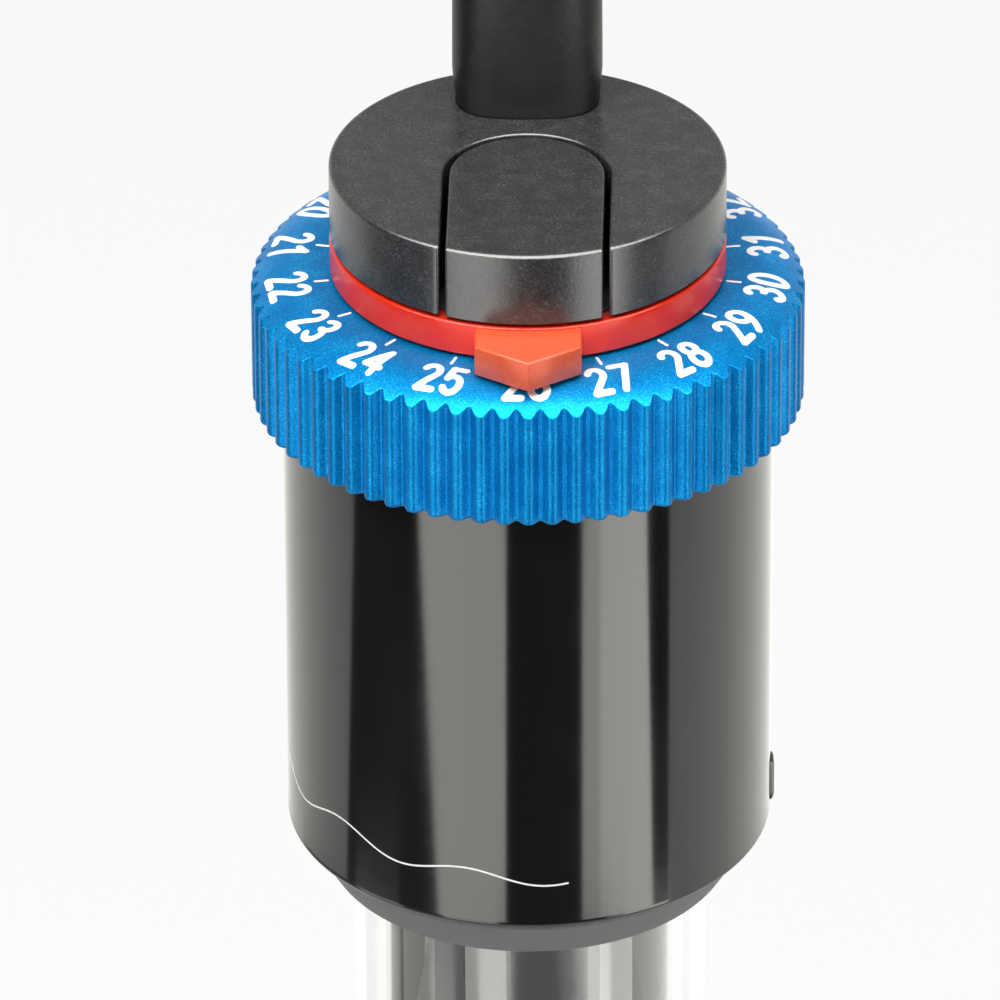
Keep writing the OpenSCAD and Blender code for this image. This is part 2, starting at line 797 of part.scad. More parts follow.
module switch_frame() {
    guide_x = slider_w / 2 + guide_gap;
    post_y = arm_y + arm_t / 2 + seat_gap;
    color("#a8abb0")
    difference() {
        union() {
            translate([-frame_w / 2, frame_y, z_foot])
                cube([frame_w, frame_t, z_bung - z_foot]);
            translate([-frame_w / 2, -foot_front, z_foot])
                cube([frame_w, frame_y + frame_t + foot_front, foot_t]);
            for (x = [-guide_x - guide_w, guide_x])
                translate([x, axle_y + 1, z_slider - guide_over])
                    cube([guide_w, frame_y - axle_y, slider_h + 2 * guide_over]);
            translate([-arm_w / 2, post_y, z_post])
                cube([arm_w, frame_y + cut - post_y, post_h - 2]);
        }
        rod_bore(z_foot, foot_t);
        lead_bores(z_foot, foot_t);
    }
}

module contact_arm() {
    color("#c98b4e")
    translate([-arm_w / 2, arm_y - arm_t / 2, z_post])
        cube([arm_w, arm_t, arm_h]);
}

module arm_contact() {
    color("#d8d8d8")
    translate([0, arm_y + arm_t / 2, z_contact])
        rotate([-90, 0, 0]) cylinder(r = contact_r, h = rivet_t);
}

module fixed_contact() {
    front = arm_y + arm_t / 2 + rivet_t + contact_gap;
    color("#d8d8d8")
    translate([0, front, z_contact])
        rotate([-90, 0, 0]) cylinder(r = contact_r, h = frame_y - front);
}

module bimetal_strip() {
    color("#b08d57")
    union() {
        translate([-arm_w / 2, bimetal_y - arm_t / 2, z_bimetal])
            cube([arm_w, arm_t, bimetal_h]);
        translate([-arm_w / 2, bimetal_y, z_bimetal])
            cube([arm_w, frame_y - bimetal_y, bimetal_foot_h]);
    }
}

module snap_magnet() {
    magnet_w = 4;
    magnet_t = 1.4;
    below_contact = 9;
    color("#6d7075")
    translate([-magnet_w / 2, frame_y - magnet_t, z_contact - below_contact])
        cube([magnet_w, magnet_t, magnet_w]);
}

module terminals() {
    color("#c9b037")
    for (x = [-wire_x, wire_x])
        difference() {
            translate([x - terminal_w / 2, frame_y + frame_t, z_terminal])
                cube([terminal_w, wire_y - frame_y - frame_t + wire_r, terminal_h]);
            translate([x, wire_y, z_terminal + terminal_hole_z])
                cylinder(r = wire_r + hole_play, h = terminal_h);
        }
}

module cable_wires() {
    color("#7c4a21")
    for (x = [-wire_x, wire_x])
        translate([x, wire_y, z_terminal + terminal_hole_z])
            cylinder(r = wire_r, h = z_wires_top - z_terminal - terminal_hole_z);
}

module thermal_fuse() {
    fuse_r = 1.8;
    fuse_h = 11;
    fuse_x = -3.4;
    above_post = 8;
    color("#d9d9d4")
    translate([fuse_x, frame_y + frame_t + fuse_r + seat_gap, z_post + above_post])
        cylinder(r = fuse_r, h = fuse_h);
}

// ---- Lamp and heating element ----

module pilot_lamp() {
    lamp_r = 2.6;
    lamp_h = 10;
    color([1, 0.55, 0.3, 0.6])
    translate([lamp_x, lamp_y, z_mica_mid + mica_t])
        union() {
            cylinder(r = lamp_r, h = lamp_h);
            translate([0, 0, lamp_h]) sphere(r = lamp_r);
        }
}

module lamp_resistor() {
    pin_r = 0.4;
    body_r = 1.3;
    body_h = 7;
    body_rise = 6;
    color("#c7b283")
    translate([-lamp_x, lamp_y, z_mica_mid + mica_t])
        union() {
            cylinder(r = pin_r, h = lamp_bay - mica_t);
            translate([0, 0, body_rise]) cylinder(r = body_r, h = body_h);
        }
}

module mica_discs() {
    color("#b7a98a")
    for (z = [z_mica_top, z_mica_mid, z_mica_low])
        difference() {
            translate([0, 0, z]) cylinder(r = mica_r, h = mica_t);
            rod_bore(z, mica_t);
            if (z > z_mica_low) lead_bores(z, mica_t);
        }
}

module tie_rod() {
    low_z = z_mica_low - nut_h;
    top_z = z_foot + foot_t;
    color("#b9bcc0")
    union() {
        translate([0, 0, low_z]) cylinder(r = rod_r, h = top_z + nut_h + rod_end - low_z);
        for (z = [low_z, top_z])
            translate([0, 0, z]) cylinder(r = nut_r, h = nut_h, $fn = 6);
    }
}

module ceramic_former() {
    rib_inset = 0.02;
    rib_reach = sqrt(pow(former_r - rib_inset, 2) - pow(former_rib_w / 2, 2));
    color("#e9e4d6")
    difference() {
        union() {
            translate([0, 0, z_former]) cylinder(r = former_core_r, h = former_h);
            for (z = [z_former, z_former_top - former_band])
                translate([0, 0, z]) cylinder(r = former_r, h = former_band);
            translate([0, 0, z_former + former_band - 1])
                linear_extrude(former_h - 2 * former_band + 2)
                    for (i = [0 : former_ribs - 1])
                        rotate((i + 0.5) * 360 / former_ribs)
                            translate([former_core_r - 1, -former_rib_w / 2])
                                square([rib_reach - former_core_r + 1, former_rib_w]);
        }
        rod_bore(z_former, former_h);
        lead_bores(z_former, former_h);
    }
}

module winding_clip() {
    difference() {
        translate([former_r - 1, winding_d, -1])
            cube([winding_d + clip_over, clip_l, winding_end - former_band + clip_lap + 1]);
        translate([0, 0, -clip_lap]) cylinder(r = former_r, h = winding_end + clip_lap);
    }
}

module winding_clips() {
    color("#9da0a4")
    union() {
        translate([0, 0, z_former_top - winding_end]) winding_clip();
        translate([0, 0, z_former + winding_end]) rotate([180, 0, 0]) winding_clip();
    }
}

module heating_winding() {
    echo(winding_least_gap = least_gap(winding_points, loop_rings, winding_d));
    color("#8b8d91") swept(winding_points, winding_d / 2, 6, [0, 0, 1]);
}

module element_leads() {
    top_z = z_former_top + lead_room / 2;
    low_z = z_former - lead_room / 2;
    clip_z = winding_end - former_band + clip_lap;
    color("#e8e8e2")
    union() {
        wire([[lead_x, lead_y, z_foot + lead_rise], [lead_x, lead_y, top_z],
              [lead_out_x, lead_out_y, top_z],
              [lead_out_x, lead_out_y, z_former_top - winding_end + clip_z]], lead_r, lead_r);
        wire([[lead_x, -lead_y, z_foot + lead_rise], [lead_x, -lead_y, low_z],
              [lead_out_x, -lead_out_y, low_z],
              [lead_out_x, -lead_out_y, z_former + winding_end - clip_z]], lead_r, lead_r);
    }
}

module bottom_cushion() {
    top = z_mica_low - nut_h;
    play = 0.1;
    pad_r = tube_ri - 1;
    round_r = 2;
    color("#efeee8")
    rotate_extrude()
        polygon(concat(
            [[0, tube_wall + play]],
            arc(tube_r - tube_end_r - play, tube_end_r, tube_end_r - tube_wall - play, -90, 0, 6),
            arc(pad_r - round_r, top - round_r, round_r, 0, 90, 4),
            [[0, top]]));
}

// ---- Cord and plug ----

module cord_relief() {
    w = relief_w / 2;
    t = relief_t / 2;
    top = overall_h + relief_h;
    root = overall_h - cap_top_t;
    bead_w = 0.75;
    mouth_w = 0.35;
    color("#161617")
    union() {
        loft(0, relief_y, [
            [root, w - relief_pinch, t - relief_pinch, relief_pow],
            [overall_h, w - relief_pinch, t - relief_pinch, relief_pow],
            [overall_h + 0.5, w - 0.12, t - 0.12, relief_pow],
            [overall_h + 1.2, w, t, relief_pow],
            [overall_h + 0.32 * relief_h, w - 0.05, t, relief_pow],
            [overall_h + 0.53 * relief_h, w - 0.5, t + 0.1, 2.4],
            [overall_h + 0.71 * relief_h, w - 1.05, t + 0.15, 2.2],
            [overall_h + 0.87 * relief_h, w - 1.45, t + 0.15, 2.05],
            [top - 0.8, cord_r + bead_w, cord_r + bead_w, 2],
            [top, cord_r + mouth_w, cord_r + mouth_w, 2]], 36);
        translate([0, relief_y, root - flange_t])
            linear_extrude(flange_t)
                intersection() {
                    polygon([for (q = [0 : 10 : 350])
                        round_box(w + flange_w, t + flange_w, relief_pow, q)]);
                    translate([0, -relief_y]) circle(r = cap_wall_ri - seat_gap);
                }
    }
}

module cord_lead() {
    color("#18181a") swept(lead_route, cord_r, 10, [1, 0, 0]);
}

module cord_tail() {
    color("#18181a") swept(tail_route, cord_r, 10, [0, 0, 1]);
}

module cord_coil() {
    echo(coil_least_gap = least_gap(coil_points, loop_rings, cord_d));
    color("#18181a") swept(coil_points, cord_r, 6, [0, 0, 1]);
}

module cord_tie() {
    play = 0.3;
    in_r = coil_r_in - coil_tuck / 4 - cord_r - play;
    out_r = coil_r_out + cord_r + play;
    inner_h = coil_step + 2 * cord_r + play + 0.4;
    color("#3c3d40")
    translate([coil_x, coil_y, 0])
        rotate([0, 0, tie_angle])
            translate([0, tie_w / 2, 0])
                rotate([90, 0, 0])
                    linear_extrude(tie_w)
                        difference() {
                            translate([in_r - tie_t, 0])
                                square([out_r - in_r + 2 * tie_t, inner_h + 2 * tie_t]);
                            translate([in_r, tie_t]) square([out_r - in_r, inner_h]);
                        }
}

module plug_place() {
    translate([plug_x, plug_y, plug_z]) rotate([-90, 0, 0]) children();
}

// Cross-section of the plug: a flat hexagon
module plug_section(w, t) {
    polygon([
        [-w / 2, -t / 5], [-w / 2 + t * 0.3, -t / 2], [w / 2 - t * 0.3, -t / 2], [w / 2, -t / 5],
        [w / 2, t / 5], [w / 2 - t * 0.3, t / 2], [-w / 2 + t * 0.3, t / 2], [-w / 2, t / 5]]);
}

module plug_body() {
    slice = 0.2;
    mouth_w = 0.9;
    color("#1c1c1e")
    plug_place()
        difference() {
            union() {
                cylinder(r1 = cord_r + mouth_w, r2 = plug_neck_r, h = plug_relief_l);
                hull() {
                    translate([0, 0, plug_relief_l - slice])
                        cylinder(r = plug_neck_r, h = slice, $fn = 32);
                    translate([0, 0, plug_relief_l + plug_taper_l])
                        linear_extrude(slice) plug_section(plug_w - 2 * plug_shoulder, plug_t);
                }
                translate([0, 0, plug_relief_l + plug_taper_l])
                    linear_extrude(plug_front_l) plug_section(plug_w, plug_t);
            }
            for (x = [-pin_pitch / 2, pin_pitch / 2])
                translate([x, 0, plug_l - pin_root])
                    cylinder(d = pin_d - 2 * pin_sleeve_t, h = pin_root + 1);
        }
}

module plug_pins() {
    color("#c8cacc")
    plug_place()
        for (x = [-pin_pitch / 2, pin_pitch / 2])
            translate([x, 0, plug_l - pin_root])
                union() {
                    cylinder(d = pin_d - 3 * pin_sleeve_t, h = pin_root + pin_sleeve_l);
                    translate([0, 0, pin_root + pin_sleeve_l])
                        cylinder(d = pin_d, h = pin_l - pin_sleeve_l - pin_tip);
                    translate([0, 0, pin_root + pin_l - pin_tip])
                        cylinder(d1 = pin_d, d2 = pin_d - 1.2 * pin_tip, h = pin_tip);
                }
}

module pin_sleeves() {
    color("#202022")
    plug_place()
        for (x = [-pin_pitch / 2, pin_pitch / 2])
            translate([x, 0, plug_l])
                difference() {
                    cylinder(d = pin_d - 2 * hole_play, h = pin_sleeve_l);
                    translate([0, 0, -cut])
                        cylinder(d = pin_d - 2 * pin_sleeve_t, h = pin_sleeve_l + 2 * cut);
                }
}

// ---- What is drawn ----

glass_tube();
sleeve();
seal_collar();
head_core();
bearing_plate();
plate_screws();
cap();
cap_tongue();
dial();
pointer_ring();
pinion();
adjust_spindle();
spindle_seal();
core_seal();
tube_gasket();
tube_bung();
cable_wires();
inner_sleeve();
switch_frame();
adjust_slider();
contact_arm();
arm_contact();
fixed_contact();
bimetal_strip();
snap_magnet();
terminals();
thermal_fuse();
pilot_lamp();
lamp_resistor();
mica_discs();
tie_rod();
ceramic_former();
winding_clips();
heating_winding();
element_leads();
bottom_cushion();
cord_relief();
cord_lead();
cord_coil();
cord_tail();
cord_tie();
plug_body();
plug_pins();
pin_sleeves();
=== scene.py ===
"""Looks of a submersible aquarium heater: its dressed pieces, its cord and a pale studio.

Sizes inside the functions are in millimetres and angles in degrees, as on a workshop drawing, and
each mesh is turned to metres when it is written. Z runs up the tube and -Y is the front.
"""

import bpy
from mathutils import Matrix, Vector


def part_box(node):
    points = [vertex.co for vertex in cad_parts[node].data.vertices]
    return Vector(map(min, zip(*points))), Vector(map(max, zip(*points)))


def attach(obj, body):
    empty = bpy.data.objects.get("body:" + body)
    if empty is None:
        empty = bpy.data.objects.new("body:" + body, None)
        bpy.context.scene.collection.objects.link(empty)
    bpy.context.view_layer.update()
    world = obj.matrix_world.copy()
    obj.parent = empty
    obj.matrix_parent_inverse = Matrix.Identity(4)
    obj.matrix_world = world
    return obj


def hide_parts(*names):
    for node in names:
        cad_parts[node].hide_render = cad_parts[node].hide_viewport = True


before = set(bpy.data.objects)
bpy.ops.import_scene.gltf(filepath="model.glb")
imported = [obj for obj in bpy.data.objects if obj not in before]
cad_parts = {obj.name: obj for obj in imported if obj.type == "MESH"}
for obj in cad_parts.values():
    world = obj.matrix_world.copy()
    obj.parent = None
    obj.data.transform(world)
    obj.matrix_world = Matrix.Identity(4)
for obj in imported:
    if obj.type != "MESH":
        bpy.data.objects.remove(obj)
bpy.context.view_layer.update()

import math

import bmesh
import bpy
import numpy as np
from mathutils import Matrix, Vector
from mathutils.geometry import tessellate_polygon

bl_info = {
    "name": "Aquarium heater",
    "version": (1, 0, 0),
    "blender": (4, 5, 0),
    "location": "3D View > Sidebar > Heater",
    "description": "Dresses the packed aquarium heater and sets it in a pale studio",
    "category": "Object",
}

MM = 0.001


def corners(node):
    """Lowest and highest corner of a CAD node, in millimetres."""
    low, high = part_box(node)
    return np.array(low) / MM, np.array(high) / MM


# ---- Sizes read from the frame ----

CAP_LOW, CAP_HIGH = corners("cap")
CAP_R = CAP_HIGH[0]
TONGUE_HIGH = corners("cap_tongue")[1]
TONGUE_HALF = TONGUE_HIGH[0]
ARCH_Y = TONGUE_HIGH[1] - TONGUE_HALF
DIAL_LOW, DIAL_HIGH = corners("dial")
DIAL_R = DIAL_HIGH[0]
RING_LOW, RING_HIGH = corners("pointer_ring")
SLEEVE_LOW, SLEEVE_HIGH = corners("sleeve")
COLLAR_LOW, COLLAR_HIGH = corners("seal_collar")
TUBE_HIGH = corners("glass_tube")[1]
RELIEF_LOW, RELIEF_HIGH = corners("cord_relief")
INNER_LOW, INNER_HIGH = corners("inner_sleeve")
FORMER_LOW, FORMER_HIGH = corners("ceramic_former")
WINDING_LOW, WINDING_HIGH = corners("heating_winding")
CUSHION_HIGH = corners("bottom_cushion")[1]

# ---- Sizes of the pieces that a box doesn't give, in millimetres ----

GROOVE_W = 0.42
CAP_TURN = 0.021        # how far the cap is turned on the neck, in radians
CAP_SPIN = np.array([[math.cos(CAP_TURN), -math.sin(CAP_TURN)], [math.sin(CAP_TURN), math.cos(CAP_TURN)]])
CAP_WALL = 2.3
SLOT_WALL = 1.2
ROOF_T = 2.0
THIN_ROOF = 0.9         # how much higher the tongue is hollowed
BORE_R = 12.98
WEB_Z = 291.6
SCALE_RISE = 1.35
FLUTES = 72
FLUTE_DEPTH = 0.6
GEAR_TEETH = 40
GEAR_MODULE = 0.7
GEAR_TIP_R = 13.3
GEAR_ROOT_R = 14.875
PRESS_ANGLE = 20
SLEEVE_R = 17.8
SLEEVE_RI = 15.8
LIP_R = 14.6
LIP_T = 1.7
TUBE_R = 13.0
TUBE_RI = 11.35
TUBE_END_R = 9.0
TUBE_SEAT_R = 12.75
FORMER_RIB_R = 8.2
RELIEF_Y = 10.0
RELIEF_HALF = (5.45, 3.85)
RELIEF_FOOT = (5.1, 3.74, 3.0)
CORD_R = 3.1

# Cord: the route from the strain relief to the coil, and from the coil to the plug
LEAD_ROUTE = [
    (0, 10, 343), (0, 10, 352), (0, 10, 360), (0, 12.3, 371.5), (0, 18.8, 381.2),
    (0, 28.5, 387.7), (0, 40, 390), (0, 51.5, 387.7), (0, 61.2, 381.2), (0, 67.7, 371.5),
    (0, 70, 360), (0, 70.3, 342), (0, 70.7, 324), (0, 71.2, 306), (0, 72, 288),
    (-0.3, 73.4, 270), (-0.8, 75.2, 252), (-1.6, 77.5, 234), (-2.9, 80.2, 216),
    (-4.7, 83.2, 198), (-7.2, 86.4, 180), (-10.8, 89.6, 162), (-15.2, 92.6, 144),
    (-20, 95.4, 126), (-24.8, 97.9, 108), (-29.2, 99.9, 90), (-32.7, 101.2, 72),
    (-35.1, 101.9, 52), (-35.9, 102, 33), (-33.9, 102, 21.6), (-27.4, 102, 11.9),
    (-17.7, 102, 5.4), (-9, 102, 3.1), (-6.2, 102, 3.1),
]
TAIL_ROUTE = [
    (6.2, 98.65, 9.8), (7.2, 98.65, 9.8), (15, 96.3, 10.4), (26.5, 88.6, 12.3),
    (35, 76.6, 14.9), (38.3, 62, 17.5), (35.8, 47.2, 19.4), (27.8, 34.2, 20.1),
    (19.4, 28.5, 20.1), (9.5, 26.5, 20.1), (-0.4, 28.5, 20.1), (-8.9, 34.1, 20.1),
    (-14.5, 42.5, 20.1), (-16.5, 52.5, 20.1), (-16.5, 53.5, 20.1),
]
COIL_CENTRE = (0.0, 62.0)
COIL_R_OUT = 40.0
COIL_STEP = 6.7
COIL_IN, COIL_CLIMB, COIL_OUT = 2.0, 0.5, 1.5
COIL_TUCK = 1.0
COIL_POINTS = 24
PLUG_END = (-16.5, 53.5, 20.1)
PLUG_L = 36.0
TIE_ANGLE = 75


# ---- Meshes ----

class Shell:
    """Faces of one piece, gathered in millimetres from grids of points and flat fills."""

    def __init__(self):
        self.points, self.quads, self.tris, self.size = [], [], [], 0

    def add(self, points):
        first = self.size
        self.points.append(np.asarray(points, float).reshape(-1, 3))
        self.size += len(self.points[-1])
        return first

    def grid(self, points, wrap=False, loop=False):
        """Quads over rows and columns of points. wrap joins the last column to the first, and loop
        the last row."""
        rows, cols = points.shape[:2]
        index = self.add(points) + np.arange(rows * cols).reshape(rows, cols)
        if wrap:
            index = np.hstack([index, index[:, :1]])
        if loop:
            index = np.vstack([index, index[:1]])
        quads = np.stack([index[:-1, :-1], index[:-1, 1:], index[1:, 1:], index[1:, :-1]], -1)
        self.quads.append(quads.reshape(-1, 4))

    def fill(self, outline, *holes):
        """Triangles over a flat outline, less any holes."""
        loops = [np.asarray(loop, float) for loop in (outline, *holes)]
        triangles = tessellate_polygon([[Vector(p) for p in loop] for loop in loops])
        self.tris.append(np.array(triangles, int) + self.add(np.vstack(loops)))

    def fan(self, ring):
        """Triangles from a ring of points to its middle."""
        first = self.add(np.vstack([ring, ring.mean(0)]))
        turn = np.arange(len(ring))
        self.tris.append(first + np.stack([turn, np.roll(turn, -1), np.full(len(ring), len(ring))], -1))

    def tube(self, rings, ends=True):
        """Quads round a row of rings, with both ends closed."""
        self.grid(rings, wrap=True)
        if ends:
            self.fan(rings[0])
            self.fan(rings[-1])

    def mesh(self, name):
        """A Blender mesh in metres, with its doubles merged and its faces pointing outwards."""
        points = np.vstack(self.points) * MM
        quads = np.vstack(self.quads) if self.quads else np.zeros((0, 4), int)
        tris = np.vstack(self.tris) if self.tris else np.zeros((0, 3), int)
        mesh = bpy.data.meshes.new(name)
        mesh.vertices.add(len(points))
        mesh.vertices.foreach_set("co", points.astype(np.float32).ravel())
        mesh.loops.add(quads.size + tris.size)
        corner = np.concatenate([quads.ravel(), tris.ravel()])
        mesh.loops.foreach_set("vertex_index", corner.astype(np.int32))
        mesh.polygons.add(len(quads) + len(tris))
        starts = np.concatenate([np.arange(len(quads)) * 4, quads.size + np.arange(len(tris)) * 3])
        mesh.polygons.foreach_set("loop_start", starts.astype(np.int32))
        mesh.update(calc_edges=True)
        work = bmesh.new()
        work.from_mesh(mesh)
        bmesh.ops.remove_doubles(work, verts=work.verts, dist=2e-7)
        bmesh.ops.dissolve_degenerate(work, edges=work.edges, dist=1e-7)
        bmesh.ops.recalc_face_normals(work, faces=work.faces)
        work.to_mesh(mesh)
        work.free()
        mesh.shade_smooth()
        return mesh


def linked(name, shell, material):
    """An object in the scene with the shell's mesh and one material."""
    made = bpy.data.objects.new(name, shell.mesh(name))
    made.data.materials.append(material)
    bpy.context.scene.collection.objects.link(made)
    return made


def piece(name, shell, material, body, sharp=32, replaces=()):
    """Puts a shell into the scene as one piece that rides on a body, and hides the nodes it stands
    for."""
    made = linked(name, shell, material)
    made.data.set_sharp_from_angle(angle=math.radians(sharp))
    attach(made, body)
    if replaces:
        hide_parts(*replaces)
    return made


def polar(radius, angle):
    """Points at a radius and an angle in degrees, as x and y in the last axis."""
    turn = np.radians(angle)
    radius = np.asarray(radius, float)
    return np.stack(np.broadcast_arrays(radius * np.cos(turn), radius * np.sin(turn)), -1)


def around(count):
    """Angles in degrees of even steps round a circle."""
    return np.arange(count) * 360 / count


def unit(rows):
    """Each row of vectors divided by its length."""
    return rows / np.linalg.norm(rows, axis=1)[:, None]


def refined(stations, fine):
    """Rows of a table at fractions of a row, by straight lines between its rows."""
    stations = np.array(stations)
    whole = np.arange(len(stations))
    return np.stack([np.interp(fine, whole, column) for column in stations.T], -1)


def raised(flat, height):
    """Flat points with a height as their third number."""
    flat = np.asarray(flat, float)
    tall = np.broadcast_to(np.asarray(height, float), flat.shape[:-1])
    return np.concatenate([flat, tall[..., None]], -1)


def round_box(a, b, power, turn):
    """Superellipse: each half axis times the cosine or sine to the power 2 / power, sign kept."""
    c, s = np.cos(np.radians(turn)), np.sin(np.radians(turn))
    x = a * np.sign(c) * np.abs(c) ** (2 / power)
    return np.stack(np.broadcast_arrays(x, b * np.sign(s) * np.abs(s) ** (2 / power)), -1)


def rounded(points, radii, closed=True, steps=5):
    """A profile whose corners are arcs that touch both sides, with a support point on each side of
    an arc."""
    points = [np.array(p, float) for p in points]
    count, out = len(points), []
    for i, (p, radius) in enumerate(zip(points, radii)):
        if radius <= 0 or (not closed and i in (0, count - 1)):
            out.append(p)
            continue
        one, two = points[i - 1] - p, points[(i + 1) % count] - p
        len_one, len_two = np.hypot(*one), np.hypot(*two)
        one, two = one / len_one, two / len_two
        half = math.acos(np.clip(one @ two, -1, 1)) / 2
        reach = radius / math.tan(half)
        middle = p + (one + two) / np.hypot(*(one + two)) * radius / math.sin(half)
        start, end = p + one * reach - middle, p + two * reach - middle
        sweep = math.pi - 2 * half
        for k in range(steps + 1):
            a, b = math.sin((1 - k / steps) * sweep), math.sin(k / steps * sweep)
            out.append(middle + (start * a + end * b) / math.sin(sweep))
        pad_one = min(0.5 * radius, 0.3 * (len_one - reach))
        pad_two = min(0.5 * radius, 0.3 * (len_two - reach))
        out.insert(len(out) - steps - 1, p + one * (reach + pad_one))
        out.append(p + two * (reach + pad_two))
    return np.array(out)


def revolve(shell, profile, segments=128, closed=True, centre=(0.0, 0.0)):
    """A profile of radius and height carried round a vertical axis at the centre."""
    profile = np.asarray(profile, float)
    turn = around(segments)
    ring = polar(profile[:, :1], turn[None, :]) + np.array(centre)
    shell.grid(raised(ring, profile[:, 1:]), wrap=True, loop=closed)


def smooth_path(points, step):
    """A curve through the points: a cubic in each stretch whose slope at a point is that of the
    parabola through it and its two neighbours, with chord length as the parameter."""
    points = np.asarray(points, float)
    gaps = np.linalg.norm(np.diff(points, axis=0), axis=1)
    at = np.concatenate([[0], np.cumsum(gaps)])
    slope = np.diff(points, axis=0) / gaps[:, None]
    inner = (slope[:-1] * gaps[1:, None] + slope[1:] * gaps[:-1, None]) / (gaps[:-1] + gaps[1:])[:, None]
    tangent = np.vstack([slope[:1], inner, slope[-1:]])
    sample = np.linspace(0, at[-1], int(round(at[-1] / step)) + 1)
    i = np.clip(np.searchsorted(at, sample, side="right") - 1, 0, len(gaps) - 1)
    span = gaps[i][:, None]
    u = ((sample - at[i]) / gaps[i])[:, None]
    return ((2 * u**3 - 3 * u**2 + 1) * points[i] + (u**3 - 2 * u**2 + u) * span * tangent[i]
            + (3 * u**2 - 2 * u**3) * points[i + 1] + (u**3 - u**2) * span * tangent[i + 1])


def along(path, first):
    """Two normals of a path, square to each other and carried along it without a twist."""
    tangent = unit(np.gradient(path, axis=0))
    normal = np.zeros_like(path)
    side = np.asarray(first, float)
    for i, t in enumerate(tangent):
        side = side - (side @ t) * t
        side = side / np.linalg.norm(side)
        normal[i] = side
    return normal, np.cross(tangent, normal)


def tube_rings(path, radius, sides, first=(1, 0, 0)):
    """Rings of a radius round a path."""
    normal, other = along(path, first)
    turn = np.radians(around(sides))[None, :, None]
    radius = np.broadcast_to(np.asarray(radius, float), (len(path),))[:, None, None]
    return path[:, None] + radius * (normal[:, None] * np.cos(turn) + other[:, None] * np.sin(turn))


# ---- Materials ----

class Term:
    """A number that varies over a surface. Arithmetic on it adds Math nodes to its paint."""

    def __init__(self, paint, socket):
        self.paint, self.socket = paint, socket

    def math(self, operation, first, second=0.0):
        return self.paint.node("ShaderNodeMath", {"operation": operation}, {0: first, 1: second})

    def __add__(self, other):
        return self.math("ADD", self, other)

    def __sub__(self, other):
        return self.math("SUBTRACT", self, other)

    def __rsub__(self, other):
        return self.math("SUBTRACT", other, self)

    def __mul__(self, other):
        return self.math("MULTIPLY", self, other)

    def __truediv__(self, other):
        return self.math("DIVIDE", self, other)

    def __pow__(self, other):
        return self.math("POWER", self, other)

    __radd__ = __add__
    __rmul__ = __mul__

    def brighter(self, other):
        return self.math("MAXIMUM", self, other)

    def clip(self):
        return self.math("MINIMUM", self.brighter(0.0), 1.0)


class Nodes:
    """The node tree of a material or of the world."""

    def __init__(self, owner):
        owner.use_nodes = True
        self.tree = owner.node_tree

    def node(self, kind, settings=None, inputs=None, out=0):
        """Adds a node, sets its settings and a ramp's stops, then links or fills its inputs."""
        made = self.tree.nodes.new(kind)
        for key, value in (settings or {}).items():
            if key == "stops":
                ramp = made.color_ramp
                for place, colour in value[1:-1]:
                    ramp.elements.new(place).color = (*colour, 1)
                for end in (0, -1):
                    place, colour = value[end]
                    ramp.elements[end].position, ramp.elements[end].color = place, (*colour, 1)
            else:
                setattr(made, key, value)
        for key, value in (inputs or {}).items():
            self.feed(made.inputs[key], value)
        return Term(self, made.outputs[out])

    def feed(self, socket, value):
        """Links a term to a socket, or sets its value."""
        if isinstance(value, Term):
            self.tree.links.new(value.socket, socket)
        elif isinstance(value, tuple) and len(value) == 3 and socket.type == "RGBA":
            socket.default_value = (*value, 1)
        else:
            socket.default_value = value

    def ray(self, kind):
        """1 for rays of one kind and 0 for the rest, or a count of bounces."""
        return self.node("ShaderNodeLightPath", out=kind)


class Paint(Nodes):
    """One procedural material, built from its Principled shader backwards."""

    def __init__(self, name, **settings):
        self.material = bpy.data.materials.new(name)
        super().__init__(self.material)
        self.shader = self.tree.nodes["Principled BSDF"]
        self.output = self.tree.nodes["Material Output"]
        self.set(**settings)

    def set(self, **values):
        """Values or links of the shader's own sockets, by their names with _ for a space."""
        for key, value in values.items():
            self.feed(self.shader.inputs[key.replace("_", " ")], value)
        return self

    def place(self, stretch=(1, 1, 1)):
        where = self.node("ShaderNodeTexCoord", out="Object")
        if stretch == (1, 1, 1):
            return where
        return self.node("ShaderNodeMapping", {}, {"Vector": where, "Scale": stretch})

    def noise(self, size_mm, detail=3.0, rough=0.5, stretch=(1, 1, 1)):
        """Soft noise whose patches are about size_mm across."""
        return self.node("ShaderNodeTexNoise", {}, {
            "Vector": self.place(stretch), "Scale": 1 / (size_mm * MM),
            "Detail": detail, "Roughness": rough})

    def ramp(self, value, *stops):
        return self.node("ShaderNodeValToRGB", {"stops": stops}, {0: value})

    def bump(self, height, depth_mm, strength=1.0):
        """Feeds the shader's normal from a height map that is depth_mm deep."""
        return self.set(Normal=self.node("ShaderNodeBump", {}, {
            "Height": height, "Distance": depth_mm * MM, "Strength": strength}))

    def show(self, factor, other, base=None):
        """Shows a mix of the Principled shader, or another base, and one more shader."""
        if base is None:
            base = Term(self, self.shader.outputs[0])
        mixed = self.node("ShaderNodeMixShader", {}, {0: factor, 1: base, 2: other})
        self.tree.links.new(mixed.socket, self.output.inputs["Surface"])
        return self


PAINTS = {}


def kept(make):
    """Makes each paint once: a later call with the same name gets the first one's material."""
    def paint(name, *values, **named):
        if name not in PAINTS:
            PAINTS[name] = make(name, *values, **named).material
        return PAINTS[name]
    return paint


def shade(colour, factor):
    return tuple(min(1.0, max(0.0, c * factor)) for c in colour)


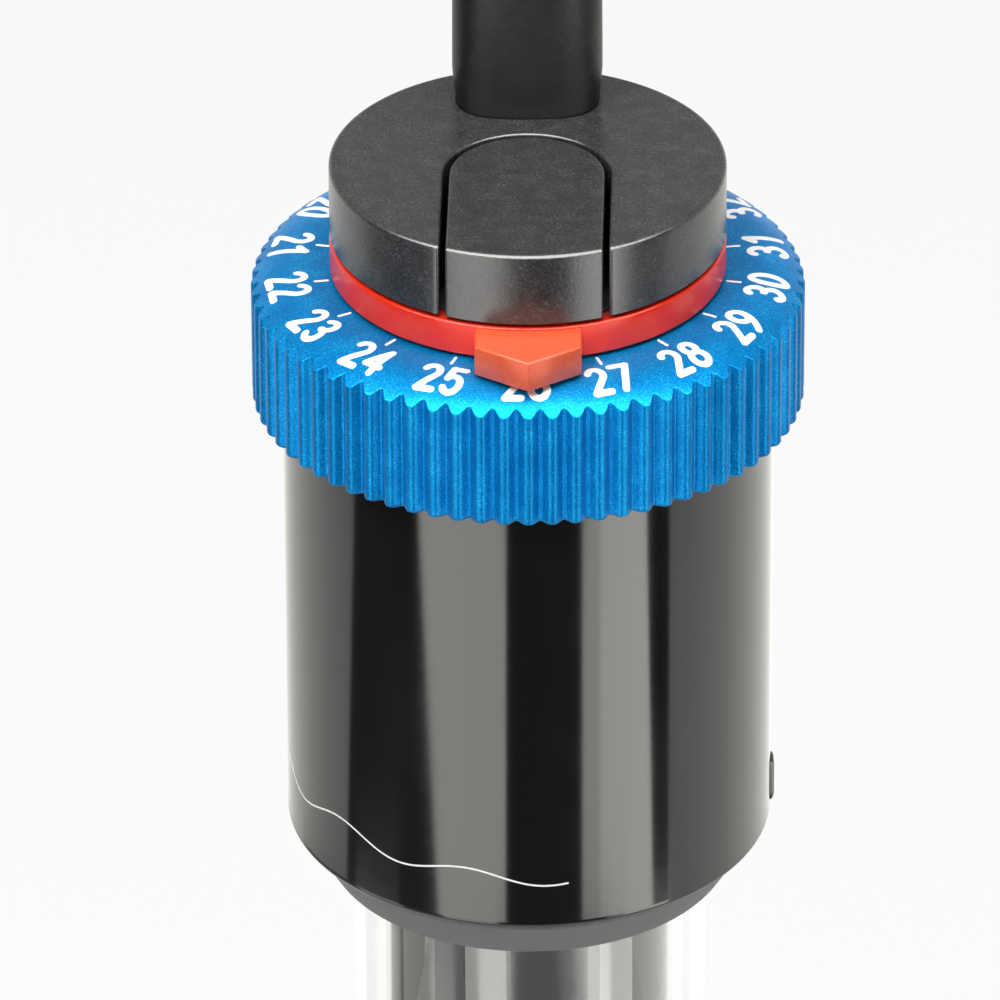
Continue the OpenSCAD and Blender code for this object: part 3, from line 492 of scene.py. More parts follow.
@kept
def plastic(name, colour, rough, grain_mm=0.25, depth_mm=0.006, spread=0.12, level=0.5):
    """Moulded plastic or rubber: fine grain in the bump, and a slow drift in colour and gloss."""
    paint = Paint(name, Specular_IOR_Level=level)
    drift = paint.noise(9.0, 2.0)
    grain = paint.noise(grain_mm, 4.0, 0.6)
    tone = (drift * 0.5 + grain * 0.5).clip()
    paint.set(
        Base_Color=paint.ramp(tone, (0.3, shade(colour, 1 - spread)), (0.52, colour),
                              (0.72, shade(colour, 1 + spread))),
        Roughness=(grain * 0.16 + drift * 0.1 + (rough - 0.13)).clip())
    return paint.bump(grain, depth_mm)


@kept
def metal(name, colour, rough, stretch=(1, 1, 1), depth_mm=0.004):
    """Drawn or plated metal: faint draw lines in the gloss and a little tarnish in the colour."""
    paint = Paint(name, Metallic=1.0)
    lines = paint.noise(0.4, 3.0, 0.6, stretch)
    tarnish = paint.noise(3.0, 3.0)
    paint.set(
        Base_Color=paint.ramp(tarnish, (0.3, shade(colour, 0.72)), (0.6, colour),
                              (0.8, shade(colour, 1.1))),
        Roughness=(lines * 0.2 + tarnish * 0.15 + (rough - 0.17)).clip())
    return paint.bump(lines, depth_mm)


def cap_plastic(colours):
    """Spark-eroded black plastic: bright and dark specks under a satin skin."""
    paint = Paint("cap_satin", Specular_IOR_Level=0.5)
    fine = paint.noise(0.2, 3.0, 0.7)
    patch = paint.noise(1.3, 4.0, 0.6)
    tone = (fine * 0.7 + patch * 0.3).clip()
    base = tuple(colours.cap)
    paint.set(
        Base_Color=paint.ramp(tone, (0.36, shade(base, 0.55)), (0.5, base), (0.62, shade(base, 1.9))),
        Roughness=(0.15 + fine * 0.14 + patch * 0.06).clip())
    return paint.bump(tone, 0.02).material


def dial_plastic(colours):
    """Pearly blue plastic: fine light flecks in a deep blue, and a soft blue sheen."""
    paint = Paint("dial_blue", Metallic=0.25, Specular_IOR_Level=0.4, Specular_Tint=(0.05, 0.5, 1.0))
    fleck = paint.noise(0.13, 2.0, 0.7)
    cloud = paint.noise(2.2, 3.0)
    base = tuple(colours.dial)
    tone = (fleck * 0.75 + cloud * 0.25).clip()
    paint.set(
        Base_Color=paint.ramp(tone, (0.32, shade(base, 0.74)), (0.5, base),
                              (0.66, tuple(colours.dial_fleck))),
        Roughness=(0.26 + fleck * 0.2).clip())
    return paint.bump(fleck, 0.006).material


def sleeve_plastic(colours):
    """Polished black plastic with faint flow marks and fine hairlines round it."""
    paint = Paint("sleeve_gloss", Specular_IOR_Level=0.5)
    flow = paint.noise(7.0, 3.0, 0.5, (1, 1, 0.35))
    hair = paint.noise(0.5, 2.0, 0.5, (0.2, 0.2, 1.5))
    base = tuple(colours.sleeve)
    paint.set(
        Base_Color=paint.ramp(flow, (0.35, shade(base, 0.8)), (0.7, shade(base, 1.3))),
        Roughness=(0.045 + flow * 0.07 + hair * 0.05).clip())
    return paint.bump(flow, 0.01, 0.6).material


@kept
def glass(name, colour, rough=0.02, head_on=0.05):
    """Clear thin-walled glass: light passes straight on, less the share thrown back. That share is
    s + (1 - s) f^5, with s the share head on and f how far the face turns away."""
    paint = Paint(name, Base_Color=(1.0, 1.0, 1.0), Metallic=1.0)
    streak = paint.noise(6.0, 2.0, 0.5, (1, 1, 0.2))
    paint.set(Roughness=(streak * rough).clip())
    facing = paint.node("ShaderNodeLayerWeight", {}, {"Blend": 0.5}, out="Facing")
    passed = (1 - head_on) - facing ** 5 * (1 - head_on)
    clear = paint.node("ShaderNodeBsdfTransparent", {}, {"Color": colour})
    return paint.show(passed.brighter(paint.ray("Is Shadow Ray")), clear)


# ---- Sizes, colours and lights that a user would change ----

def length(name, default_mm, description):
    return bpy.props.FloatProperty(
        name=name, description=description, default=default_mm * MM, precision=5, unit="LENGTH")


def tint(name, default, description):
    return bpy.props.FloatVectorProperty(
        name=name, description=description, default=default, size=3, min=0, max=1, subtype="COLOR")


def power(name, default, description):
    return bpy.props.FloatProperty(name=name, description=description, default=default, unit="POWER")


class HeaterSizes(bpy.types.PropertyGroup):
    """Small sizes of the head that the frame leaves open."""
    cap_edge: length("Cap edge", 0.34, "Fillet along the rim of the cap")
    groove_edge: length("Groove edge", 0.14, "Fillet along the groove round the tongue")
    dial_edge: length("Dial edge", 0.2, "Fillet between the scale and the flutes")
    stroke: length("Stroke", 0.55, "Width of a printed stroke")
    digit_h: length("Digit height", 3.15, "Height of the printed numbers")
    digit_top: length("Digit top", 15.87, "Distance from the axis to the top of the numbers")
    ink_t: length("Ink", 0.03, "Thickness of the printed ink")
    cord_step: length("Cord step", 1.6, "Distance between two rings of the cord")


class HeaterColours(bpy.types.PropertyGroup):
    """Colours of the pieces that show."""
    cap: tint("Cap", (0.029, 0.0295, 0.031), "Satin plastic of the cap and its tongue")
    dial: tint("Dial", (0.0, 0.155, 0.42), "Pearly plastic of the dial")
    dial_fleck: tint("Dial fleck", (0.01, 0.33, 0.66), "Light flecks in the dial")
    # The pointer's orange is the ring's red painted lighter: a painted highlight for the light on its top
    # face.
    pointer: tint("Pointer", (0.84, 0.028, 0.006), "Glossy plastic of the red ring")
    plate: tint("Plate", (0.72, 0.10, 0.035), "Warmer face of the pointer")
    ink: tint("Ink", (0.88, 0.88, 0.87), "Printed numbers and marks")
    sleeve: tint("Sleeve", (0.007, 0.007, 0.0073), "Polished plastic of the sleeve")
    collar: tint("Collar", (0.098, 0.098, 0.10), "Rubber seal under the sleeve")
    rubber: tint("Rubber", (0.0045, 0.0045, 0.0048), "Rubber of the strain relief, cord and plug")


class HeaterStudio(bpy.types.PropertyGroup):
    """Lights and camera."""
    focal: bpy.props.FloatProperty(name="Lens", description="Focal length", default=451.37, unit="CAMERA")
    distance: length("Distance", 900, "From the middle of the cap's top to the camera")
    elevation: bpy.props.FloatProperty(
        name="Elevation", description="Height of the camera over the horizon",
        default=math.radians(28.582), subtype="ANGLE")
    key: power("Key", 8.5, "Power of the key light")
    top: power("Top", 7.0, "Power of the overhead softbox")
    fill: power("Fill", 1.5, "Power of the fill light")
    ambient: bpy.props.FloatProperty(
        name="Ambient", description="Strength of the world's light", default=0.3)


# ---- Stage ----

def turned(axis, angle, vector):
    """The vector turned about an axis by an angle in degrees, by the right-hand rule."""
    return Matrix.Rotation(math.radians(angle), 3, axis) @ vector


def make_camera(studio):
    """A long lens at the viewing angle, turned so that the head stands in the upper half of the frame."""
    pitch, yaw, roll = -1.552, 0.13, -0.142
    target = Vector((0, 0, CAP_HIGH[2] * MM))
    back = Vector((0, -math.cos(studio.elevation), math.sin(studio.elevation)))
    place = target + back * studio.distance
    right = Vector((1, 0, 0))
    up = back.cross(right)
    back, up = turned(right, pitch, back), turned(right, pitch, up)
    back, right = turned(up, yaw, back), turned(up, yaw, right)
    right, up = turned(back, roll, right), turned(back, roll, up)
    lens = bpy.data.cameras.new("camera")
    lens.lens = studio.focal
    lens.sensor_width = 36
    lens.clip_start, lens.clip_end = 0.01, 50
    made = bpy.data.objects.new("camera", lens)
    made.matrix_world = Matrix.Translation(place) @ Matrix((right, up, back)).transposed().to_4x4()
    bpy.context.scene.collection.objects.link(made)
    bpy.context.scene.camera = made


def make_world(studio):
    """White where the camera, gloss and glass look, and a plain level on everything else."""
    world = bpy.data.worlds.new("studio")
    bpy.context.scene.world = world
    nodes = Nodes(world)
    seen = nodes.ray("Is Camera Ray").brighter(nodes.ray("Is Transmission Ray"))
    either = seen.brighter(nodes.ray("Is Glossy Ray") * GLOSS_SKY)
    sky = nodes.tree.nodes["Background"]
    nodes.feed(sky.inputs["Color"], (1.0, 1.0, 1.0))
    nodes.feed(sky.inputs["Strength"], either.brighter(studio.ambient))


def glow(name, strength):
    """Light of one strength for rays that a glossy face has thrown back, and clear for the rest."""
    paint = Paint(name)
    light = paint.node("ShaderNodeEmission", {}, {"Color": CARD_COLOUR, "Strength": strength})
    clear = paint.node("ShaderNodeBsdfTransparent")
    return paint.show(paint.ray("Glossy Depth").clip(), light, clear).material


def make_floor():
    """A wide pale floor: mostly a white glow for the camera, with enough plain white to hold a shadow."""
    paint = Paint("floor_white", Base_Color=(0.9, 0.9, 0.9), Roughness=0.9)
    light = paint.node("ShaderNodeEmission", {}, {"Color": (1.0, 1.0, 1.0), "Strength": 1.0})
    seen = paint.ray("Is Camera Ray").brighter(paint.ray("Is Transmission Ray"))
    paint.show(seen * FLOOR_GLOW, light)
    shell = Shell()
    radius = np.array([0, 100, 300, 1000, 4000], float)
    shell.grid(raised(polar(radius[:, None], around(64)[None, :]), -0.05), wrap=True)
    linked("floor", shell, paint.material)


def make_card(name, strength, shape, start, end, low, high):
    """A curved card that only gloss sees. Its start and end are angles from the front towards the
    right, each at its foot and at its top, and low and high are heights, or elevations on the dome."""
    shell = Shell()
    across, up = np.meshgrid(np.linspace(0, 1, 33), np.linspace(0, 1, 9))
    first = start[0] + (start[1] - start[0]) * up
    last = end[0] + (end[1] - end[0]) * up
    turn, rise = first + (last - first) * across - 90, low + (high - low) * up
    if shape == "dome":
        flat = polar(CARD_R * np.cos(np.radians(rise)), turn)
        shell.grid(raised(flat, CAP_HIGH[2] + CARD_R * np.sin(np.radians(rise))))
    else:
        shell.grid(raised(polar(CARD_R, turn), rise))
    card = linked(name, shell, glow(name, strength))
    card.visible_camera = card.visible_diffuse = card.visible_shadow = False
    card.visible_volume_scatter = False


def make_cards():
    """A dome over the head for the bright rims, and rows of upright cards from one edge to the next."""
    make_card("card_dome", DOME[0], "dome", *DOME[1:])
    for row, (low, high, strengths, foot, *top) in enumerate(CARD_ROWS):
        edges = list(zip(foot, top[0] if top else foot))
        for k, strength in enumerate(strengths):
            make_card(f"card_{row}_{k}", strength, "upright", edges[k], edges[k + 1], low, high)


def make_lamp(name, place, size, watts, aim=(0, 0, 280)):
    """A square softbox that faces a point. Places are in millimetres."""
    data = bpy.data.lights.new(name, "AREA")
    data.energy, data.size = watts, size * MM
    made = bpy.data.objects.new(name, data)
    place, aim = Vector(place) * MM, Vector(aim) * MM
    facing = (place - aim).to_track_quat("Z", "Y").to_matrix().to_4x4()
    made.matrix_world = Matrix.Translation(place) @ facing
    bpy.context.scene.collection.objects.link(made)
    return made


GLOSS_SKY = 0.9         # strength of the world for gloss
FLOOR_GLOW = 0.8        # share of plain glow in the floor
CARD_COLOUR = (1.0, 0.985, 0.94)
CARD_R = 300.0
# Strength, the two edges at foot and top, and the lowest and highest elevation
DOME = (18.0, (-80, -80), (80, 80), 24, 90)
CARD_ROWS = [
    # low and high edge, strength of each card, the cards' edges at the foot, and at the top if other
    (2, 70, (1.0, 0.3, 2.0, 0.3, 3.8, 0.1, 2.5, 5.6, 1.3),
     (-180, -136, -90, -64, -42, -15, 38, 46, 70, 180)),
    (70, 128, (1.25, 0.07, 4.8, 0.07, 4.6, 6.4, 0.07, 1.5, 1.6),
     (-180, -96, -42, -11, 24.5, 33, 60, 68, 108, 180),
     (-180, -86, -53, -10, 24.5, 33, 55, 68, 108, 180)),
    (128, 380, (1.1, 0.03, 5.2, 0.03, 5.6, 0.03, 1.2), (-180, -105, -50, -13, 27, 56, 84, 180)),
    (380, 760, (0.5, 0.5, 0.5), (-180, -110, 110, 180)),
]


# ---- Cord, strain relief, tie and plug ----

def coil_path():
    """Centre line of the coil: two turns in on the floor, half a turn up a layer and one and a
    half out."""
    turns = COIL_IN + COIL_CLIMB + COIL_OUT
    t = np.arange(int(COIL_POINTS * turns) + 1) / COIL_POINTS
    inner = COIL_R_OUT - COIL_IN * COIL_STEP
    climb = np.clip((t - COIL_IN) / COIL_CLIMB, 0, 1)
    radius = np.where(
        t < COIL_IN, COIL_R_OUT - COIL_STEP * t,
        np.where(t < COIL_IN + COIL_CLIMB, inner - COIL_TUCK * np.sin(np.pi * climb),
                 inner + COIL_STEP * (t - COIL_IN - COIL_CLIMB)))
    height = CORD_R + COIL_STEP * (1 - np.cos(np.pi * climb)) / 2
    return raised(polar(radius, 90 - 360 * t) + np.array(COIL_CENTRE), height)


def cord_path(step):
    """The whole cord: the lead, the coil and the tail on one smooth curve."""
    return smooth_path(np.vstack([LEAD_ROUTE, coil_path(), TAIL_ROUTE]), step)


def make_cord(sizes, colours):
    """A round rubber sheath: rings of one radius carried along the whole route."""
    path = cord_path(sizes.cord_step / MM)
    shell = Shell()
    shell.tube(tube_rings(path, CORD_R, 22))
    made = piece("mains_cord", shell, rubber_paint(colours), "housing",
                 replaces=("cord_lead", "cord_coil", "cord_tail"))
    return made, path


def rubber_paint(colours):
    return plastic("rubber_matt", tuple(colours.rubber), 0.45, 0.9, 0.05, 0.5, level=0.25)


def make_relief(colours):
    """Loft of superellipses from the cap to the bead at the cord: wide and flat below, round above,
    on a flange inside the cap."""
    low, top = RELIEF_LOW[2], RELIEF_HIGH[2]
    cap = CAP_HIGH[2]
    rise = top - cap
    a, b = RELIEF_HALF
    foot_a, foot_b, foot_power = RELIEF_FOOT
    flange_half, flange_t, flange_flat = 6.2, 1.2, 0.341
    # height over the cap, half width, half depth, power of the section
    stations = [(cap + up, wide, deep, power) for up, wide, deep, power in (
        (low + flange_t - cap, foot_a, foot_b, foot_power), (-0.2, foot_a, foot_b, foot_power),
        (0.25, foot_a + 0.06, foot_b + 0.03, foot_power),
        (1.2, a - 0.1, b - 0.04, 2.8), (2.6, a, b, 2.7), (0.32 * rise, a - 0.05, b, 2.6),
        (0.53 * rise, a - 0.5, b + 0.1, 2.4), (0.71 * rise, a - 1.05, b + 0.15, 2.2),
        (0.87 * rise, a - 1.45, b + 0.15, 2.05))]
    # the bead: depth under the top, and reach over the cord
    stations += [(top - down, CORD_R + over, CORD_R + over, 2) for down, over in (
        (1.5, 0.78), (0.45, 0.66), (0.1, 0.42), (0, 0.2), (0, -0.1))]
    fine = np.concatenate([np.linspace(0, 4, 17)[:-1], np.linspace(4, 9, 31)[:-1], np.linspace(9, 13, 17)])
    rows = refined(stations, fine)
    for _ in range(3):
        # each row becomes the mean of itself, twice, and its two neighbours
        rows[18:44] = (rows[17:43] + 2 * rows[18:44] + rows[19:45]) / 4
    turn = around(96)[None, :]
    flat = round_box(rows[:, 1:2], rows[:, 2:3], rows[:, 3:4], turn) + np.array([0, RELIEF_Y])
    shell = Shell()
    shell.tube(raised(flat, rows[:, :1]))
    flange = rounded([(0, low), (flange_half, low), (flange_half, low + flange_t), (0, low + flange_t)],
                     [0, 0.2, 0.2, 0], closed=False)
    share = flange[:, :1] / flange_half
    plan = round_box(share, share * flange_flat, 2.6, turn) * flange_half
    shell.grid(raised(plan + np.array([0, RELIEF_Y - 0.5]), flange[:, 1:]), wrap=True)
    return piece("strain_relief", shell, rubber_paint(colours), "housing",
                 replaces=("cord_relief",))


def make_tie():
    """A flat strap round all turns of the coil: a rounded outline carried across its width."""
    play, thick, half, bevel = 0.3, 0.6, 2.0, 0.12
    in_r = COIL_R_OUT - COIL_IN * COIL_STEP - COIL_TUCK / 4 - CORD_R - play
    out_r = COIL_R_OUT + CORD_R + play
    tall = COIL_STEP + 2 * CORD_R + 0.7
    top = tall + 2 * thick
    left, right = in_r - thick, out_r + thick
    outline = rounded([(left, 0), (right, 0), (right, top), (left, top)], [2.4] * 4, steps=8)
    middle = np.array([(in_r + out_r) / 2, top / 2])
    size = np.array([(out_r - in_r) / 2 + thick, tall / 2 + thick])
    inner = middle + (outline - middle) * (1 - thick / size)
    section = [(inner, -half), (outline, bevel - half), (outline, half - bevel), (inner, half)]
    turn = math.radians(TIE_ANGLE)
    rows = []
    for loop, side in section:
        x = COIL_CENTRE[0] + loop[:, 0] * math.cos(turn) - side * math.sin(turn)
        y = COIL_CENTRE[1] + loop[:, 0] * math.sin(turn) + side * math.cos(turn)
        rows.append(np.stack([x, y, loop[:, 1]], -1))
    shell = Shell()
    shell.grid(np.array(rows), wrap=True, loop=True)
    return piece("cord_strap", shell, plastic("strap", (0.04, 0.04, 0.043), 0.6, 0.5, 0.02), "housing",
                 replaces=("cord_tie",))


def make_plug():
    """Loft along +Y from the cord's neck to a flat hexagon with soft corners, with grip ribs on its
    flanks."""
    neck = CORD_R + 2.3
    grip_at, grip_half, rib_pace, rib_deep = 27.5, 6.0, 2.4, 0.55
    # the ribbed neck: distance along the plug, and reach over the cord
    stations = [(along_y, CORD_R + over, CORD_R + over, 2) for along_y, over in (
        (0, -0.1), (0, 0.6), (0.3, 0.9), (2.2, 1.15), (2.5, 0.55), (3.6, 0.55), (3.9, 1.55),
        (5.4, 1.75), (5.7, 0.9), (6.8, 0.9))]
    # the body: distance, half width, half thickness, power of the section
    stations += [
        (7.2, neck - 0.1, neck - 0.1, 2.1), (8, neck, neck, 2.1), (10.5, 8.2, 5.7, 2.4),
        (13.5, 12.2, 6.3, 2.9), (16.2, 15.2, 6.75, 3.3), (18.0, 16.9, 6.85, 3.6),
        (20, 17.5, 6.85, 3.8), (PLUG_L - 1.2, 17.55, 6.8, 3.8), (PLUG_L - 0.35, 17.3, 6.6, 3.8),
        (PLUG_L, 16.6, 6.0, 3.8)]
    rows = refined(stations, np.concatenate([np.linspace(0, 11, 34)[:-1], np.linspace(11, 19, 41)]))
    flat = round_box(rows[:, 1:2], rows[:, 2:3], rows[:, 3:4], around(112)[None, :])
    distance = np.broadcast_to(rows[:, :1], flat.shape[:2])
    grip = np.clip(1 - np.abs(distance - grip_at) / grip_half, 0, 1) ** 0.25
    wave = np.clip(np.cos(2 * np.pi * (distance - grip_at) / rib_pace), 0, 1)
    flank = np.clip((np.abs(flat[..., 0]) - 14.5) / 2.0, 0, 1)
    flat = flat - flat / np.array([17.6, 6.9]) * (rib_deep * grip * wave * flank)[..., None]
    x, y, z = PLUG_END
    shell = Shell()
    shell.tube(np.stack([x + flat[..., 0], y + distance, z + flat[..., 1]], -1))
    return piece("mains_plug", shell, plastic("plug_rubber", (0.02, 0.02, 0.021), 0.42, 0.3, 0.01, 0.2),
                 "housing", replaces=("plug_body",))


# ---- Cap ----

def cap_outline(side, rim_r, half, corner, points=(150, 6, 14, 40)):
    """Outline of the cap (side +1) or of its tongue (side -1), from the middle of the rim round the
    corner and up the groove to the crown of the arch, then mirrored. The corner's arc touches the
    rim and the groove."""
    rim, turn, straight, arch = points
    x = half + side * corner
    y = -math.sqrt((rim_r - corner) ** 2 - x * x)
    meet = math.degrees(math.atan2(y, x))
    first = 90 if side > 0 else -90
    last = -180 if side > 0 else 0
    half_path = np.vstack([
        polar(rim_r, np.linspace(first, meet, rim)),
        np.array([x, y]) + polar(corner, np.linspace(meet, last, turn + 1)[1:]),
        np.stack([np.full(straight, half), np.linspace(y, ARCH_Y, straight + 1)[1:]], -1),
        np.array([0, ARCH_Y]) + polar(half, np.linspace(0, 90, arch + 1)[1:])])
    mirrored = half_path[-2:0:-1] * np.array([-1, 1])
    return np.vstack([half_path, mirrored])


def cap_stations(low, top, roof, rim_wall, groove_wall, rim_edge, groove_edge):
    """Height and inset of each row: over the filleted edge, down the wall, under it and up inside."""
    drop, foot, support = 0.34, 0.12, 0.05
    turn = np.radians(np.linspace(0, 90, 7))
    rows = [(top, rim_edge + support, groove_edge + support)]
    rows += [(top - drop * (1 - math.cos(a)), rim_edge * (1 - math.sin(a)), groove_edge * (1 - math.sin(a)))
             for a in turn]
    rows += [(top - drop - support, 0, 0), (low + foot + support, 0, 0), (low + foot, 0, 0),
             (low, foot, foot * 0.5), (low, rim_wall, groove_wall), (roof, rim_wall, groove_wall)]
    return rows


def make_cap_part(name, side, half, roof, paint, sizes, replaces, hole=False):
    """Shell of the cap or its tongue: the outline set in by each station's amount, closed above and
    inside, with the strain relief's hole where one is asked for."""
    stations = cap_stations(CAP_LOW[2], CAP_HIGH[2], roof, CAP_WALL, SLOT_WALL,
                            sizes.cap_edge / MM, sizes.groove_edge / MM)
    rows = []
    for height, rim_in, groove_in in stations:
        corner = max(0.2 - min(rim_in, groove_in), 0.02)
        flat = cap_outline(side, CAP_R - rim_in, half + side * groove_in, corner)
        rows.append(raised(flat @ CAP_SPIN, height))
    shell = Shell()
    shell.grid(np.array(rows), wrap=True)
    top_holes, roof_holes = [], []
    if hole:
        a, b, section = RELIEF_FOOT
        top = CAP_HIGH[2]
        steps = [(top, 0.17), (top, 0.13), (top - 0.03, 0.06), (top - 0.1, 0.03), (roof, 0.03)]
        rings = np.array([raised(round_box(a + d, b + d, section, around(96)) + np.array([0, RELIEF_Y]), z)
                          for z, d in steps])
        shell.grid(rings, wrap=True)
        top_holes, roof_holes = [rings[0]], [rings[-1]]
    shell.fill(rows[0], *top_holes)
    shell.fill(rows[-1], *roof_holes)
    return piece(name, shell, paint, "housing", replaces=replaces)


# ---- Dial ----

def flute_radius(turn):
    """Radius of the fluted side: a raised cosine to the power 1.6, which leaves broad round crests at
    the front and at every 5 degrees, with narrower valleys between them."""
    wave = (1 - np.cos(np.radians((turn + 90) * FLUTES))) / 2
    return DIAL_R - FLUTE_DEPTH * wave ** 1.6


def gear_radius(turn):
    """Radius of the internal gear: involute flanks between the root and the tip circle. The
    involute of an angle is its tangent less the angle."""
    pitch, play = GEAR_MODULE * GEAR_TEETH / 2, 0.05
    press = math.radians(PRESS_ANGLE)
    base = pitch * math.cos(press)
    radius = np.linspace(max(GEAR_TIP_R, base + 0.01), GEAR_ROOT_R, 24)
    lean = np.arccos(base / radius)
    space = (math.pi * GEAR_MODULE / 2 + play) / (2 * pitch)
    half = np.degrees(space + (math.tan(press) - press) - (np.tan(lean) - lean))
    pace = 360 / GEAR_TEETH
    off = np.abs((turn + 90 + pace / 2) % pace - pace / 2)
    flank = np.interp(off, half[::-1], radius[::-1])
    return np.where(off > half[0], GEAR_TIP_R, np.where(off < half[-1], GEAR_ROOT_R, flank))


def scale_height(radius):
    """Height of the domed scale: it falls with the fourth power of the way from the ring to the rim."""
    return DIAL_HIGH[2] - SCALE_RISE * (np.clip(radius - CAP_R, 0, None) / (DIAL_R - CAP_R)) ** 4


def scale_lean(radius):
    """Slope of the domed scale, as an angle in radians."""
    span = DIAL_R - CAP_R
    return np.arctan(4 * SCALE_RISE / span * ((radius - CAP_R) / span) ** 3)


def make_dial(sizes, colours):
    """Dial as rows round the axis: bore, scale, an edge whose arc touches scale and flutes, side,
    foot and gear."""
    turn = around(1440) - 90
    low, top = DIAL_LOW[2], DIAL_HIGH[2]
    fillet, foot, bevel, gear_rim = sizes.dial_edge / MM, 0.3, 0.12, 17.0
    outer, gear = flute_radius(turn), gear_radius(turn)
    start = math.pi / 2 - scale_lean(outer - 0.4 * fillet)
    centre_r = outer - fillet
    touch_r = centre_r + fillet * np.cos(start)
    centre_z = scale_height(touch_r) - fillet * np.sin(start)
    rows = [(BORE_R, WEB_Z), (BORE_R, top - bevel), (BORE_R + bevel, top), (CAP_R, top)]
    for share in (0.08, 0.25, 0.42, 0.58, 0.72, 0.84, 0.93, 0.985):
        r = CAP_R + (touch_r - CAP_R) * share
        rows.append((r, scale_height(r)))
    for share in np.linspace(1, 0, 7):
        rows.append((centre_r + fillet * np.cos(share * start), centre_z + fillet * np.sin(share * start)))
    rows += [(outer, centre_z - 0.06), (outer, 0.5 * (centre_z + low)), (outer, low + foot + 0.06)]
    for a in np.linspace(0, -math.pi / 2, 5):
        rows.append((outer - foot + foot * math.cos(a), low + foot + foot * math.sin(a)))
    rows += [(outer - foot - 0.1, low), (gear_rim, low), (gear + 0.08, low), (gear, low + 0.08),
             (gear, WEB_Z)]
    shell = Shell()
    shell.grid(np.array([raised(polar(r, turn), z) for r, z in rows]), wrap=True, loop=True)
    piece("temperature_dial", shell, dial_plastic(colours), "dial", replaces=("dial",))


def bow(x, y, a, b, start, end, count=28):
    """Part of an ellipse, from one angle to another."""
    turn = np.radians(np.linspace(start, end, count))
    return np.stack([x + a * np.cos(turn), y + b * np.sin(turn)], -1)


def bar(*ends):
    """A straight stroke."""
    return np.linspace(ends[0], ends[1], 8)


def swing(start, bend, end, count=20):
    """A quadratic curve from start to end, pulled towards bend."""
    t = np.linspace(0, 1, count)[:, None]
    return (1 - t) ** 2 * np.array(start) + 2 * t * (1 - t) * np.array(bend) + t ** 2 * np.array(end)


SIX = [bow(0.27, 0.29, 0.25, 0.29, 0, 360, 40), swing((0.02, 0.33), (0.06, 0.72), (0.40, 1.0))]
DIGITS = {
    "0": [bow(0.27, 0.5, 0.25, 0.5, 0, 360, 44)],
    "1": [bar((0.08, 0.78), (0.32, 1.0)), bar((0.32, 1.0), (0.32, 0.0))],
    "2": [bow(0.27, 0.73, 0.24, 0.27, 160, -38), bar((0.459, 0.564), (0.03, 0.0)),
          bar((0.03, 0.0), (0.52, 0.0))],
    "3": [bow(0.25, 0.755, 0.22, 0.245, 145, -90), bow(0.25, 0.265, 0.25, 0.265, 90, -145)],
    "4": [bar((0.38, 0.0), (0.38, 1.0)), bar((0.38, 1.0), (0.0, 0.27)), bar((0.0, 0.27), (0.53, 0.27))],
    "5": [bar((0.48, 1.0), (0.11, 1.0)), bar((0.11, 1.0), (0.06, 0.52)),
          bow(0.25, 0.32, 0.26, 0.32, 138, -145)],
    "6": SIX,
    "7": [bar((0.02, 1.0), (0.52, 1.0)), bar((0.52, 1.0), (0.18, 0.0))],
    "8": [bow(0.27, 0.755, 0.205, 0.245, 0, 360, 36), bow(0.27, 0.265, 0.25, 0.265, 0, 360, 40)],
    "9": [np.array([0.54, 1.0]) - stroke for stroke in SIX],
}
DIGIT_W = 0.54
SQUEEZE = 0.88
DIGIT_GAP = 0.24
PRINT_OFF = 0.2         # how far the print stands off the axis
TICK_R = (15.5, 14.6)
FIRST_NUMBER, FRONT_NUMBER, LAST_NUMBER = 18, 26, 34


def ribbon(shell, line, half, place):
    """A low rounded bead along a flat line, with round ends. place turns flat points and a rise
    into space."""
    if np.linalg.norm(line[0] - line[-1]) < 1e-6:
        closed, line = True, line[:-1]
        step = unit(np.roll(line, -1, 0) - np.roll(line, 1, 0))
        width = np.full(len(line), half)
    else:
        closed, step = False, unit(np.gradient(line, axis=0))
        ends = np.sin(np.radians(np.linspace(90, 0, 6)[:-1]))
        lead = line[:1] - step[:1] * half * ends[:, None]
        tail = line[-1:] + step[-1:] * half * ends[::-1, None]
        spread = np.sqrt(np.clip(1 - ends ** 2, 0, 1))
        width = np.concatenate([spread, np.ones(len(line)), spread[::-1]]) * half
        step = np.vstack([np.repeat(step[:1], len(ends), 0), step, np.repeat(step[-1:], len(ends), 0)])
        line = np.vstack([lead, line, tail])
    normal = np.stack([-step[:, 1], step[:, 0]], -1)
    across = np.array([-1, -0.96, -0.7, 0, 0.7, 0.96, 1])
    rise = np.array([-1, 0.45, 0.9, 1.0, 0.9, 0.45, -1])
    flat = line[:, None] + normal[:, None] * (width[:, None] * across)[..., None]
    shell.grid(place(flat, np.broadcast_to(rise, flat.shape[:2])), wrap=True, loop=closed)


